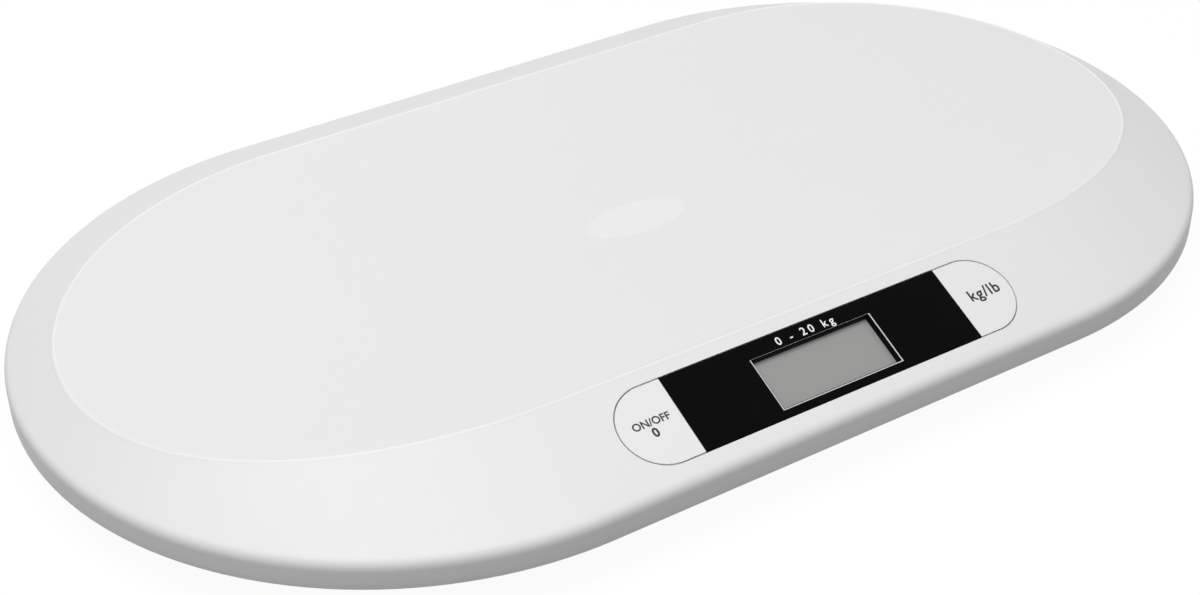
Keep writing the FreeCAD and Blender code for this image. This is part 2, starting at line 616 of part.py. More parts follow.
def base_plate():
    pan = loft("pan_blank", [
        (f"{HALF_LENGTH} - pan_inset", f"{HALF_WIDTH} - pan_inset", "pan_bottom"),
        (f"{HALF_LENGTH} - wall - fit", f"{HALF_WIDTH} - wall - fit", "rim_bottom"),
        (f"{HALF_LENGTH} - wall - fit", f"{HALF_WIDTH} - wall - fit", "rim_bottom + flange_height"),
    ])
    inner_top = f"rim_bottom + base_wall - base_wall * {PAN_SLOPE}"
    void = loft("pan_void", [
        (f"{HALF_LENGTH} - pan_inset", f"{HALF_WIDTH} - pan_inset", PAN_FLOOR),
        (f"{HALF_LENGTH} - wall - fit - base_wall", f"{HALF_WIDTH} - wall - fit - base_wall", inner_top),
        (f"{HALF_LENGTH} - wall - fit - base_wall", f"{HALF_WIDTH} - wall - fit - base_wall",
         "rim_bottom + flange_height + 1"),
    ])

    islands = [rod(f"tower_{name}", "tower_radius", "tower_height", x, y, "pan_bottom")
               for name, x, y in case_screw_places()]
    holes = []
    for name, x, y in case_screw_places():
        holes.append(rod(f"sink_{name}", "sink_radius", "sink_depth + 1", x, y, "pan_bottom - 1"))
        holes.append(rod(f"through_{name}", "screw_radius + screw_clear", "tower_height + 2", x, y,
                         "pan_bottom - 1"))

    for corner, sx, sy in CORNERS:
        x, y = sx + FOOT_X, sy + FOOT_Y
        cup_height = f"{CUP_CEILING} + cup_roof - pan_bottom"
        islands.append(rod(f"cup_{corner}", f"{CUP_INNER} + cup_wall", cup_height, x, y, "pan_bottom"))
        bore = rod(f"cup_bore_{corner}", CUP_INNER, f"{CUP_CEILING} - pan_bottom + 1", x, y, "pan_bottom - 1")
        seats = [
            block(f"seat_{side}_{corner}", "cell_side", "seat_width", "seat_height + 1", x,
                  f"{y} {sign} (cell_side - seat_width) / 2", CELL_TOP)
            for side, sign in (("front", "-"), ("rear", "+"))
        ]
        holes.append(cut(f"cup_room_{corner}", bore, *seats))
        for index in range(3):
            ear_x = f"{x} + {EAR_CIRCLE} * cos(90 + 120 * {index})"
            ear_y = f"{y} + {EAR_CIRCLE} * sin(90 + 120 * {index})"
            islands.append(rod(f"ear_boss_{corner}_{index}", "ear_reach / 2", "small_screw_length + 1", ear_x,
                               ear_y, "pan_bottom"))
            holes.append(rod(f"ear_pilot_{corner}_{index}", "small_screw_radius + screw_play",
                             "small_screw_length", ear_x, ear_y, "pan_bottom - 0.5"))
        length = f"({CUP_INNER} + cup_wall + 1 - cell_side / 2)"
        start = f"{x} + cell_side / 2" if sx else f"{x} - cell_side / 2 - {length}"
        holes.append(lying_rod(f"lead_hole_{corner}", "lead_hole", length, start, y, "lead_height"))

    islands.append(block("well_block", f"2 * ({WELL_HALF_LENGTH} + well_wall)",
                         f"2 * ({WELL_HALF_WIDTH} + well_wall)", f"{WELL_CEILING} + well_wall - pan_bottom",
                         "0", "0", "pan_bottom"))
    islands.append(block("cover_deck", "cover_length + 2 * cover_stroke + 4 * base_wall",
                         "cover_width + 4 * base_wall", f"{DECK_TOP} - pan_bottom", "cover_stroke / 2", "0",
                         "pan_bottom"))
    holes.append(block("well_room", f"2 * {WELL_HALF_LENGTH}", f"2 * {WELL_HALF_WIDTH}",
                       f"{WELL_CEILING} - pan_bottom + 1", "0", "0", "pan_bottom - 1"))
    holes.append(block("cover_room", "cover_length + cover_stroke + 2 * cover_play",
                       "cover_width + 2 * cover_play", "cover_thick + cover_play + 1", "cover_stroke / 2", "0",
                       "pan_bottom - 1"))
    for name, x, y in cover_hook_places():
        slot_length = "cover_hook_thick + cover_stroke + 2 * cover_play"
        holes.append(block(f"hook_slot_{name}", slot_length, "cover_hook_width + 2 * cover_play",
                           f"{DECK_TOP} - pan_bottom + 1", f"{x} + cover_stroke / 2", y, "pan_bottom"))
    holes.append(lying_rod("well_lead_hole_left", "lead_hole", "well_wall + 2",
                           f"-{WELL_HALF_LENGTH} - well_wall - 1", "-battery_pitch", BATTERY_AXIS))
    holes.append(lying_rod("well_lead_hole_right", "lead_hole", "well_wall + 2",
                           f"{WELL_HALF_LENGTH} - 1", "battery_pitch", BATTERY_AXIS))

    room = cut("pan_room", void, *islands)
    part(cut("base_plate", cut("pan_shell", pan, room), *holes), "base_plate")


# ---- fasteners --------------------------------------------------------------------------------

def screw(name, shank, head, head_height, length):
    """A pan-head screw with its head's underside at z = 0 and its shank up, as a cut of turned parts."""
    body = turned(name, [
        ("0", f"-({head_height})"), (f"{head} - {head_height} / 3", f"-({head_height})"),
        (head, f"-({head_height}) * 2 / 3"), (head, "0"), (shank, "0"),
        (shank, f"{length} - {shank}"), (f"{shank} / 3", length), ("0", length),
    ])
    cross = fuse(name + "_cross", *[
        block(f"{name}_slot_{index}", along, across, "cross_depth + 1", "0", "0", f"-({head_height}) - 1")
        for index, (along, across) in enumerate(((f"{head} * 1.2", "cross_width"),
                                                 ("cross_width", f"{head} * 1.2")))
    ])
    return cut(name + "_crossed", body, cross)


def case_screws():
    screw_shape = screw("case_screw", "screw_radius", "screw_head_radius", "screw_head_height", "screw_length")
    part(group("case_screws", *[
        copy_of(f"case_screw_{name}", screw_shape, x, y, "pan_bottom + sink_depth")
        for name, x, y in case_screw_places()
    ]), "case_screws")


def holder_screws():
    shape = screw("holder_screw", "small_screw_radius", "small_head_radius", "small_head_height",
                  "small_screw_length")
    copies = []
    for corner, sx, sy in CORNERS:
        for index in range(3):
            copies.append(copy_of(f"holder_screw_{corner}_{index}", shape,
                                  f"{sx}{FOOT_X} + {EAR_CIRCLE} * cos(90 + 120 * {index})",
                                  f"{sy}{FOOT_Y} + {EAR_CIRCLE} * sin(90 + 120 * {index})", EAR_BOTTOM))
    part(group("holder_screws", *copies), "holder_screws")


def board_screws():
    shape = screw("board_screw", "small_screw_radius", "small_head_radius", "small_head_height",
                  "small_screw_length - 1")
    copies = []
    for ex, sx in LEFT_RIGHT:
        for ey, sy in FRONT_REAR:
            copies.append(copy_of(f"board_screw_{ey}_{ex}", shape, sx + "board_post_u", sy + "board_post_v",
                                  f"-{BOARD_BACK}"))
    panel_part("board_screws", *copies)


# ---- feet and load cells ----------------------------------------------------------------------

def foot_pad(corner, sx, sy):
    body = turned(f"pad_{corner}", [
        ("0", "pad_groove / 2"), ("pad_radius / 3", "pad_groove / 2"), ("pad_radius / 3 + pad_groove", "0"),
        ("pad_radius * 2 / 3 - pad_groove", "0"), ("pad_radius * 2 / 3", "pad_groove / 2"),
        ("pad_radius * 2 / 3 + pad_groove", "0"), ("pad_radius - pad_height / 4", "0"),
        ("pad_radius", "pad_height / 4"), ("pad_radius", "pad_height"), ("0", "pad_height"),
    ])
    part(place(body, sx + FOOT_X, sy + FOOT_Y), f"foot_pad_{corner}")


def foot_cap(corner, sx, sy):
    """Plastic foot: a disc with a flange that the holder's lip traps, and a post for the load cell."""
    shoulder = "pad_height + foot_rise"
    body = turned(f"cap_{corner}", [
        ("0", "pad_height"), ("foot_radius - pad_height / 2", "pad_height"),
        ("foot_radius", "pad_height * 3 / 2"), ("foot_radius", shoulder),
        ("foot_radius + foot_flange_out", shoulder), ("foot_radius + foot_flange_out", FLANGE_TOP),
        ("foot_radius - foot_flange_out", FLANGE_TOP), ("foot_radius - foot_flange_out", "2 * pad_height"),
        ("foot_post_radius", "2 * pad_height"), ("foot_post_radius", f"{CELL_BOTTOM} - post_gap - 1"),
        ("foot_post_radius - 1", f"{CELL_BOTTOM} - post_gap"), ("0", f"{CELL_BOTTOM} - post_gap"),
    ])
    part(place(body, sx + FOOT_X, sy + FOOT_Y), f"foot_cap_{corner}")


def cell_holder(corner, sx, sy):
    """Ring that traps the foot, carries the load cell on its roof and is screwed under the pan."""
    lip_radius = "foot_radius + foot_play"
    lip_top = "(pad_height + foot_rise - foot_travel)"
    lip_bottom = f"({lip_top} - holder_lip)"
    body = turned(f"holder_{corner}", [
        (lip_radius, lip_bottom), (HOLDER_OUTER, lip_bottom), (HOLDER_OUTER, EAR_BOTTOM),
        (f"{HOLDER_OUTER} + ear_reach", EAR_BOTTOM), (f"{HOLDER_OUTER} + ear_reach", "pan_bottom"),
        (HOLDER_OUTER, "pan_bottom"), (HOLDER_OUTER, CELL_BOTTOM), ("holder_hole", CELL_BOTTOM),
        ("holder_hole", HOLDER_ROOF), (HOLDER_INNER, HOLDER_ROOF), (HOLDER_INNER, lip_top),
        (lip_radius, lip_top),
    ])
    doc.recompute()
    hole = circle(body, f"ear_hole_{corner}", "small_screw_radius + screw_clear", "0", EAR_CIRCLE,
                  height="pan_bottom")
    drilled = pocket(body, f"ear_drill_{corner}", hole, "ear_thick + 1")
    around(body, drilled, 3, f"ear_drills_{corner}")
    part(place(body, sx + FOOT_X, sy + FOOT_Y), f"cell_holder_{corner}")


def load_cell(corner, sx, sy):
    """Steel plate with a tongue: the rim rests on the holder and the foot's post presses the tongue."""
    body = new_body(f"cell_{corner}")
    half = "cell_side / 2"
    nip = "cell_side / 12"
    outline = polygon(body, f"cell_outline_{corner}", [
        (f"{nip} - {half}", f"-{half}"), (f"{half} - {nip}", f"-{half}"), (half, f"{nip} - {half}"),
        (half, f"{half} - {nip}"), (f"{half} - {nip}", half), (f"{nip} - {half}", half),
        (f"-{half}", f"{half} - {nip}"), (f"-{half}", f"{nip} - {half}"),
    ], height=CELL_BOTTOM)
    pad(body, f"cell_plate_{corner}", outline, "cell_thick")
    inner = "tongue_width / 2"
    outer = "(tongue_width / 2 + cell_slot)"
    end = "tongue_length / 2"
    slot = polygon(body, f"cell_slot_{corner}", [
        (f"-{outer}", f"-{end}"), (outer, f"-{end}"), (outer, end), (inner, end),
        (inner, f"cell_slot - {end}"), (f"-{inner}", f"cell_slot - {end}"), (f"-{inner}", end),
        (f"-{outer}", end),
    ], height=CELL_TOP)
    pocket(body, f"cell_cut_{corner}", slot, "cell_thick + 1")
    part(place(body, sx + FOOT_X, sy + FOOT_Y), f"load_cell_{corner}")


# ---- display and keys -------------------------------------------------------------------------

def display_bezel():
    """Black band with the sunk window, flush with the border."""
    plate = block("bezel_plate", "bezel_length", "panel_width", "recess_depth", "0", "0", "-recess_depth")
    window = block("bezel_window", "window_length - 2 * window_edge", "window_width - 2 * window_edge",
                   "recess_depth + 2", "0", "window_shift", "-recess_depth - 1")
    bevel = doc.addObject("Part::Wedge", "bezel_bevel")
    half_length, half_width = "window_length / 2", "window_width / 2"
    for prop, expression in (
        ("Xmin", f"-{half_length}"), ("Xmax", half_length), ("Zmin", f"-{half_width}"), ("Zmax", half_width),
        ("X2min", f"window_edge - {half_length}"), ("X2max", f"{half_length} - window_edge"),
        ("Z2min", f"window_edge - {half_width}"), ("Z2max", f"{half_width} - window_edge"),
        ("Ymin", "0"), ("Ymax", "window_edge"),
    ):
        bind(bevel, prop, expression)
    bevel.Placement = FreeCAD.Placement(FreeCAD.Vector(), FreeCAD.Rotation(FreeCAD.Vector(1, 0, 0), -90))
    place(bevel, "0", "window_shift", "0")
    panel_part("display_bezel", cut("bezel_cut", plate, window, bevel))


def key(ex, sx, name):
    """A key: plate with a round end, a post on its switch and two hooks behind the recess floor."""
    blank = new_body(f"key_blank_{ex}")
    outline = stadium(blank, f"key_outline_{ex}", f"{KEY_ROUND} + panel_width / 2", "panel_width / 2",
                      "-key_thick")
    pad(blank, f"key_pad_{ex}", outline, "key_thick")
    reach = "(key_straight + panel_width / 2 - key_joint + 1)"
    side = block(f"key_side_{ex}", reach, "panel_width + 2", "key_thick + 2",
                 f"{sx}(bezel_length / 2 + key_joint + {reach} / 2)", "0", "-key_thick - 1")
    pieces = [
        common(f"key_plate_{ex}", blank, side),
        rod(f"key_post_{ex}", "post_radius", f"{PLUNGER_TOP} - key_thick / 2", f"{sx}key_centre", "0",
            f"-{PLUNGER_TOP}"),
    ]
    leg_depth = f"({FLOOR_BOTTOM} + hook_play + hook_thick)"
    for ey, sy in FRONT_REAR:
        pieces.append(block(f"key_leg_{ey}_{ex}", "hook_length", "hook_thick", f"{leg_depth} - key_thick / 2",
                            sx + KEY_ROUND, f"{sy}hook_v", f"-{leg_depth}"))
        pieces.append(block(f"key_barb_{ey}_{ex}", "hook_length", "hook_thick + hook_barb", "hook_thick",
                            sx + KEY_ROUND, f"{sy}(hook_v - hook_barb / 2)", f"-{leg_depth}"))
    panel_part(name, fuse(f"key_{name}", *pieces))


def push_switch(ex, sx, name):
    """A push switch on the board and the plunger that moves with its key."""
    case = block(f"switch_case_{ex}", "switch_side", "switch_side", "switch_height", sx + "key_centre", "0",
                 "-board_depth")
    well_depth = "(plunger_root + key_travel + plunger_play)"
    well = rod(f"switch_well_{ex}", "plunger_radius + plunger_play", f"{well_depth} + 1",
               sx + "key_centre", "0", f"-{SWITCH_TOP} - {well_depth}")
    panel_part(f"{name}_switch", cut(f"switch_cut_{ex}", case, well))
    panel_part(f"{name}_plunger", rod(f"plunger_rod_{ex}", "plunger_radius", "plunger_height + plunger_root",
                                      sx + "key_centre", "0", f"-{SWITCH_TOP} - plunger_root"))


def display():
    """Two glasses on a holder, with the contact strips that join them to the board."""
    panel_part("lcd_front_glass", block("front_glass", "lcd_length", "lcd_width", "glass_thick", "0",
                                        "window_shift", "-recess_depth - glass_thick"))
    full_width = "(lcd_width + lcd_ledge)"
    ledge_shift = "window_shift + lcd_ledge / 2"
    panel_part("lcd_rear_glass", block("rear_glass", "lcd_length", full_width, "glass_thick", "0", ledge_shift,
                                       f"-{REAR_GLASS_BACK}"))
    depth = f"board_depth - {REAR_GLASS_BACK}"
    frame = block("holder_frame", "lcd_length", full_width, depth, "0", ledge_shift, "-board_depth")
    hollow = block("holder_hollow", "lcd_length - 2 * holder_rim", f"{full_width} - 2 * holder_rim",
                   f"{depth} + 2", "0", ledge_shift, "-board_depth - 1")
    panel_part("lcd_holder", cut("holder_cut", frame, hollow))
    panel_part("zebra_strips", *[
        block(f"strip_{ey}", "lcd_length - 2 * holder_rim", "strip_width", depth, "0",
              f"{ledge_shift} {sign} ({full_width} / 2 - holder_rim - strip_width / 2)", "-board_depth")
        for ey, sign in (("front", "-"), ("rear", "+"))
    ])


def circuit_board():
    body = new_body("board")
    outline = polygon(body, "board_outline", [
        ("-board_length / 2", "-board_width / 2"), ("board_length / 2", "-board_width / 2"),
        ("board_length / 2", "board_width / 2"), ("-board_length / 2", "board_width / 2"),
    ], height=f"-{BOARD_BACK}")
    pad(body, "board_pad", outline, "board_thick")
    for ex, sx in LEFT_RIGHT:
        for ey, sy in FRONT_REAR:
            hole = circle(body, f"board_hole_{ey}_{ex}", "small_screw_radius + screw_clear",
                          sx + "board_post_u", sy + "board_post_v", height="-board_depth")
            pocket(body, f"board_drill_{ey}_{ex}", hole, "board_thick")
    part(on_panel(body), "circuit_board")
    panel_part("chip_blob", rod("blob", "blob_radius", "blob_height", "0", "0",
                                f"-{BOARD_BACK} - blob_height"))
    panel_part("capacitors", *[
        rod(f"can_{ex}", "capacitor_radius", "capacitor_height", sx + "capacitor_u", "0",
            f"-{BOARD_BACK} - capacitor_height")
        for ex, sx in LEFT_RIGHT
    ])


# ---- battery well -----------------------------------------------------------------------------

def battery_rows():
    """Three rows across the well; sign says which way a cell points."""
    for index, sign in ((-1, ""), (0, "-"), (1, "")):
        yield index + 1, f"{index} * battery_pitch", sign


def batteries():
    cells = []
    for index, y, sign in battery_rows():
        end = "(battery_body + battery_nub) / 2"
        can_start = f"battery_nub - {end}" if sign else f"-{end}"
        nub_start = f"-{end}" if sign else f"{end} - battery_nub"
        cells.append(fuse(f"battery_{index}",
                          lying_rod(f"battery_can_{index}", "battery_radius", "battery_body", can_start, y,
                                    BATTERY_AXIS),
                          lying_rod(f"battery_nub_{index}", "battery_nub_radius", "battery_nub", nub_start, y,
                                    BATTERY_AXIS)))
    part(group("batteries", *cells), "batteries")


def contacts():
    """Contacts drawn from the well's end wall at x = 0 towards the cell: flat ones and bent springs."""
    back = "contact_width / 2"
    plate = fuse("plate_contact",
                 block("plate_back", "contact_thick", "contact_width", "contact_width", "-contact_thick / 2",
                       "0", f"-{back}"),
                 block("plate_tongue", "contact_room - 2 * contact_thick", "contact_width / 2", "contact_thick",
                       "-contact_room / 2", "0", "-contact_thick / 2"),
                 block("plate_face", "contact_thick", "contact_width / 2", "contact_width / 2",
                       "contact_thick / 2 - contact_room", "0", "-contact_width / 4"))
    spring = new_body("spring_contact")
    fold = "contact_thick * 3 / 2"
    outline = polygon(spring, "spring_outline", [
        ("0", f"-{back}"), ("0", back), ("-contact_thick", back), ("-contact_room", "contact_thick"),
        ("-contact_room", "-contact_thick"), ("-contact_thick", f"-{back}"),
        ("-contact_thick", f"{fold} - {back}"), (f"{fold} - contact_room", "0"),
        ("-contact_thick", f"{back} - {fold}"), ("-contact_thick / 2", f"{back} - {fold}"),
        ("-contact_thick / 2", f"-{back}"),
    ], "XZ_Plane")
    strip = pad(spring, "spring_strip", outline, "contact_width * 3 / 4")
    strip.Midplane = True
    stores = {"plate": [], "spring": []}
    for index, y, sign in battery_rows():
        sides = (("-", "plate", plate), ("", "spring", spring)) if sign else (
            ("", "plate", plate), ("-", "spring", spring))
        for side, kind, shape in sides:
            stores[kind].append(copy_of(f"{kind}_{index}", shape, side + WELL_HALF_LENGTH, y, BATTERY_AXIS,
                                        180 if side else 0))
    for kind, copies in stores.items():
        part(group(f"{kind}_contacts", *copies), f"{kind}_contacts")


def battery_cover():
    plate = block("cover_plate", "cover_length", "cover_width", "cover_thick", "0", "0", "pan_bottom")
    pieces = [plate]
    toe_bottom = f"{DECK_TOP} + cover_play"
    for name, x, y in cover_hook_places():
        pieces.append(block(f"cover_leg_{name}", "cover_hook_thick", "cover_hook_width",
                            f"{toe_bottom} + cover_hook_thick - pan_bottom - cover_thick / 2", x, y,
                            "pan_bottom + cover_thick / 2"))
        pieces.append(block(f"cover_toe_{name}", "cover_hook_thick + cover_hook_toe", "cover_hook_width",
                            "cover_hook_thick", f"{x} - cover_hook_toe / 2", y, toe_bottom))
    grooves = [
        block(f"grip_{index}", "grip_width", "cover_width / 2", "grip_width",
              f"cover_length / 2 - {index + 2} * grip_pitch", "0", "pan_bottom - grip_width * 2 / 3")
        for index in range(4)
    ]
    part(cut("battery_cover", fuse("cover_body", *pieces), *grooves), "battery_cover")


# ---- leads ------------------------------------------------------------------------------------

def panel_point(along, up, depth):
    """A point at a depth below the panel, along it and up its slope."""
    slope = math.atan(size("brow_rise") / size("border_run_side"))
    inset = size("panel_inset")
    middle_y = inset - size("casing_width") / 2
    middle_z = size("rim_bottom") + size("rim_height") + inset * math.tan(slope)
    return FreeCAD.Vector(along, middle_y + up * math.cos(slope) + depth * math.sin(slope),
                          middle_z + up * math.sin(slope) - depth * math.cos(slope))


def lead(node, points):
    """A tube along straight runs joined by tangent arcs."""
    edges = []
    here = points[0]
    for before, corner, after in zip(points, points[1:], points[2:]):
        back, onward = before - corner, after - corner
        trim = 0.45 * min(back.Length, onward.Length)
        back.normalize()
        onward.normalize()
        half_turn = (math.pi - back.getAngle(onward)) / 2
        bend = trim / math.tan(half_turn)
        inside = back + onward
        inside.normalize()
        middle = corner + inside * (math.hypot(bend, trim) - bend)
        start, end = corner + back * trim, corner + onward * trim
        edges.append(Part.LineSegment(here, start).toShape())
        edges.append(Part.Arc(start, middle, end).toShape())
        here = end
        print(f"{node}: bend of {bend:.1f} mm")
    edges.append(Part.LineSegment(here, points[-1]).toShape())
    path = Part.Wire(edges)
    ring = Part.Wire([Part.Circle(points[0], points[1] - points[0], size("lead_radius")).toShape()])
    item = doc.addObject("Part::Feature", node)
    item.Shape = path.makePipeShell([ring], True, True)
    part(item, node)


def to_board(node, start, bends, pad_along):
    """A lead from its start over the bends to its pad on the back of the board."""
    board_back = size("board_depth") + size("board_thick")
    points = [FreeCAD.Vector(*point) for point in (start, *bends)]
    points.append(panel_point(pad_along, size("lead_pad_v"), board_back + size("lead_approach")))
    points.append(panel_point(pad_along, size("lead_pad_v"), board_back))
    lead(node, points)


def cell_leads():
    """From each load cell's edge through the cup's wall, over the pan, up to the board."""
    height = size("lead_height")
    cell_edge = size("casing_length") / 2 - size("foot_inset_end") - size("cell_side") / 2
    cup_exit = cell_edge - size("lead_start")
    foot_y = size("casing_width") / 2 - size("foot_inset_side")
    for side, ex in ((-1, "left"), (1, "right")):
        to_board(f"cell_lead_front_{ex}", (side * cell_edge, -foot_y, height), [
            (side * cup_exit, -foot_y, height),
            (side * 95, -foot_y - 10, height),
            (side * 68, -foot_y - 24, height + 2),
        ], side * size("front_lead_pad"))
        to_board(f"cell_lead_rear_{ex}", (side * cell_edge, foot_y, height), [
            (side * cup_exit, foot_y, height),
            (side * 98, foot_y - 30, height),
            (side * 80, 0, height),
            (side * 72, 28 - foot_y, height),
            (side * 55, -foot_y - 7, height + 2),
        ], side * size("rear_lead_pad"))


def battery_leads():
    """From the two end contacts of the row of cells through the well's walls, up to the board."""
    well_end = (size("battery_body") + size("battery_nub")) / 2 + size("contact_room")
    height = (size("pan_bottom") + size("cover_thick") + size("cover_play") + size("well_play")
              + size("battery_radius"))
    out = well_end + size("battery_lead_start")
    pitch = size("battery_pitch")
    board_y = size("panel_inset") - size("casing_width") / 2
    to_board("battery_lead_left", (-well_end, -pitch, height), [
        (-out, -pitch, height),
        (-out - 4, -45, height),
        (-38, board_y + 51.2, height),
    ], -size("battery_lead_pad"))
    to_board("battery_lead_right", (well_end, pitch, height), [
        (out, pitch, height),
        (out + 8, -20, height),
        (out + 2, -60, height),
        (34, board_y + 44.2, height),
    ], size("battery_lead_pad"))


platform_shell()
base_plate()
case_screws()
holder_screws()
for corner, sx, sy in CORNERS:
    foot_pad(corner, sx, sy)
    foot_cap(corner, sx, sy)
    cell_holder(corner, sx, sy)
    load_cell(corner, sx, sy)
display_bezel()
key("left", "-", "power_button")
key("right", "", "unit_button")
push_switch("left", "-", "power")
push_switch("right", "", "unit")
display()
circuit_board()
board_screws()
battery_cover()
batteries()
contacts()
cell_leads()
battery_leads()
doc.recompute()

for item in doc.Objects:
    if "Invalid" in item.State or "Error" in item.State:
        raise RuntimeError(f"{item.Name} ({item.Label}) failed: {item.State}")
os.makedirs("parts", exist_ok=True)
for item in parts:
    if item.Shape.isNull() or not item.Shape.isValid() or not item.Shape.Solids:
        raise RuntimeError(f"{item.Label} has no valid shape")
    item.Shape.exportStep(f"parts/{item.Label}.step")
    print(f"{item.Label}: {len(item.Shape.Solids)} solids, {item.Shape.Volume:.0f} mm3")
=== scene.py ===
import json
import math

import bmesh
import bpy
import numpy as np
from mathutils import Matrix, Vector


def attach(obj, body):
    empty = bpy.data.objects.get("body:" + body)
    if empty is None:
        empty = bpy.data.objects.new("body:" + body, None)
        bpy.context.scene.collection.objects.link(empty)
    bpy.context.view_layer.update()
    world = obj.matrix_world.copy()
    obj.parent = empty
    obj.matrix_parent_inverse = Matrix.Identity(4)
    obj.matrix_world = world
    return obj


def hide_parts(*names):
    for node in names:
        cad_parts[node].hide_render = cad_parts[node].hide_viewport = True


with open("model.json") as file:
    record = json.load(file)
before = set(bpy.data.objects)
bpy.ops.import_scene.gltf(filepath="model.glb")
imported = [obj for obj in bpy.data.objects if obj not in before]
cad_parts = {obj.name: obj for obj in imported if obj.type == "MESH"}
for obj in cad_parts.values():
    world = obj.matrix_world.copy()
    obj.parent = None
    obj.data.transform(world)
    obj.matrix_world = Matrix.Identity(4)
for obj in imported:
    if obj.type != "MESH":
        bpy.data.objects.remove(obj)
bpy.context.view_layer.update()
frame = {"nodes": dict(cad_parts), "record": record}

bl_info = {
    "name": "Baby weighing scale",
    "version": (1, 0, 0),
    "blender": (4, 5, 0),
    "location": "3D View > Sidebar > Baby scale",
    "description": "Dresses a dished baby weighing scale: platform, panel, feet, fasteners and stage",
    "category": "Object",
}

MM = 0.001
RECORD = frame["record"]
SLOT_OF = {row["node"]: row["material_slot"] for row in RECORD["subparts"]}
BODY_OF = {node: body for body, nodes in RECORD["behaviour"]["bodies"].items() for node in nodes}
CORNERS = ("front_left", "front_right", "rear_left", "rear_right")
WHITE = (1.0, 1.0, 1.0, 1.0)
MERGE = 0.002 * MM  # points of a CAD mesh closer than this are one point
PRINT_HEIGHT = 0.02 * MM
PRINT_GAP = 0.005 * MM
MATERIALS = {}


def linear(code):
    """An sRGB hex colour as linear RGB."""
    channels = [int(code[i:i + 2], 16) / 255 for i in (1, 3, 5)]
    return tuple(c / 12.92 if c <= 0.04045 else ((c + 0.055) / 1.055) ** 2.4 for c in channels)


# ---- settings ----

def number(name, description, default, **more):
    """A setting in the sidebar; more holds its unit, subtype or limits."""
    return bpy.props.FloatProperty(name=name, description=description, default=default, **more)


def length(name, description, millimetres):
    return number(name, description, millimetres * MM, subtype="DISTANCE", unit="LENGTH", precision=5)


def angle(name, description, radians):
    return number(name, description, radians, subtype="ANGLE", unit="ROTATION")


def colour(name, description, code):
    return bpy.props.FloatVectorProperty(name=name, description=description, default=linear(code),
                                         subtype="COLOR", size=3, min=0.0, max=1.0)


class CasingSizes(bpy.types.PropertyGroup):
    half_length: length("Half length", "Middle of the casing to the end of its rim", 275.0)
    half_width: length("Half width", "Middle of the casing to the side of its rim", 161.0)
    rim_bottom: length("Rim bottom", "Lower edge of the rim above the floor", 20.0)
    rim_height: length("Rim height", "Rim wall up to the start of the border", 9.55)
    rim_round: length("Rim rounding", "Radius between rim wall and border", 5.5)
    skirt: length("Skirt", "Rim wall below the rim's lower edge", 1.8)
    brow_rise: length("Brow rise", "Height that the border climbs over its full run", 24.0)
    run_side: length("Side run", "Full run of the border at the long sides", 54.9)
    run_left: length("Left run", "Full run of the border at the left end", 34.2)
    run_right: length("Right run", "Full run of the border at the right end", 41.0)
    brow_left: length("Left brow", "Half axis of the brow's left end along the casing", 122.8)
    brow_right: length("Right brow", "Half axis of the brow's right end along the casing", 117.5)
    waist: length("Waist", "Crest moved in at the middle of the sides", 1.15)
    crest_out: length("Crest offset", "Crest moved outwards all round", 0.76)
    crest_floor: length("Crest floor", "Crest surface above the rim's lower edge, in the middle", 19.3)
    crest_side: length("Crest side rise", "Rise of the crest surface out to half the width", 21.0)
    crest_end: length("Crest end rise", "Rise of the crest surface out to half the length", 4.65)
    wall: length("Wall", "Thickness of the moulded shell", 2.5)
    bead: length("Bead", "Height of the fine bead along the crest", 0.22)
    bead_width: length("Bead width", "Width of the fine bead along the crest", 2.0)
    lip_width: length("Lip width", "Crest to the foot of the lip around the tray", 2.9)
    lip_drop: length("Lip drop", "Tray below the crest surface", 0.42)


class PanelSizes(bpy.types.PropertyGroup):
    inset: length("Inset", "Rim to the middle of the panel, measured flat", 24.8)
    width: length("Width", "Panel opening, across the slope", 36.1)
    band_length: length("Band length", "Black band between the keys", 134.8)
    key_straight: length("Key straight", "Straight part of a key before its round end", 9.9)
    gap: length("Gap", "Gap between the opening's edge and the band and keys", 0.52)
    recess: length("Recess", "Depth of the panel recess", 3.0)
    floor: length("Recess floor", "Thickness of the recess floor", 1.8)
    chamfer: length("Chamfer", "Softened edge around the recess", 0.12)
    window_length: length("Window length", "Window in the band, along the casing", 57.9)
    window_width: length("Window width", "Window in the band, across the slope", 24.3)
    window_place: length("Window place", "Middle of the window, up the slope from the band's middle", -1.8)


class ScrewSizes(bpy.types.PropertyGroup):
    case_head: length("Case head", "Radius of a case screw's head", 2.8)
    case_dome: length("Case dome", "Height of a case screw's head", 1.8)
    case_shank: length("Case shank", "Radius of a case screw's shank", 1.5)
    case_length: length("Case length", "Case screw under its head", 13.0)
    small_head: length("Small head", "Radius of a small screw's head", 2.0)
    small_dome: length("Small dome", "Height of a small screw's head", 1.3)
    small_shank: length("Small shank", "Radius of a small screw's shank", 1.1)
    small_length: length("Small length", "Small screw under its head", 6.5)
    board_length: length("Board screw length", "Board screw under its head", 5.5)
    cross: length("Cross", "Width of the cross recess's bars", 0.8)


class Finishes(bpy.types.PropertyGroup):
    shell: colour("Shell", "White ABS of the platform", "#EBEBEB")
    base: colour("Base", "White ABS of the pan under the scale", "#E2E2DF")
    key: colour("Keys", "White ABS of the keys", "#EDEDED")
    band: colour("Band", "Black band around the display", "#050506")
    display: colour("Display", "Unlit display", "#9A9B99")
    legend: colour("Legends", "Printing on the keys", "#0E0E10")
    figures: colour("Figures", "Printing on the band", "#F4F4F4")
    pad: colour("Pads", "Rubber of the foot pads", "#4A4A4C")
    zinc: colour("Zinc", "Zinc plating of the screws", "#B9BCC0")


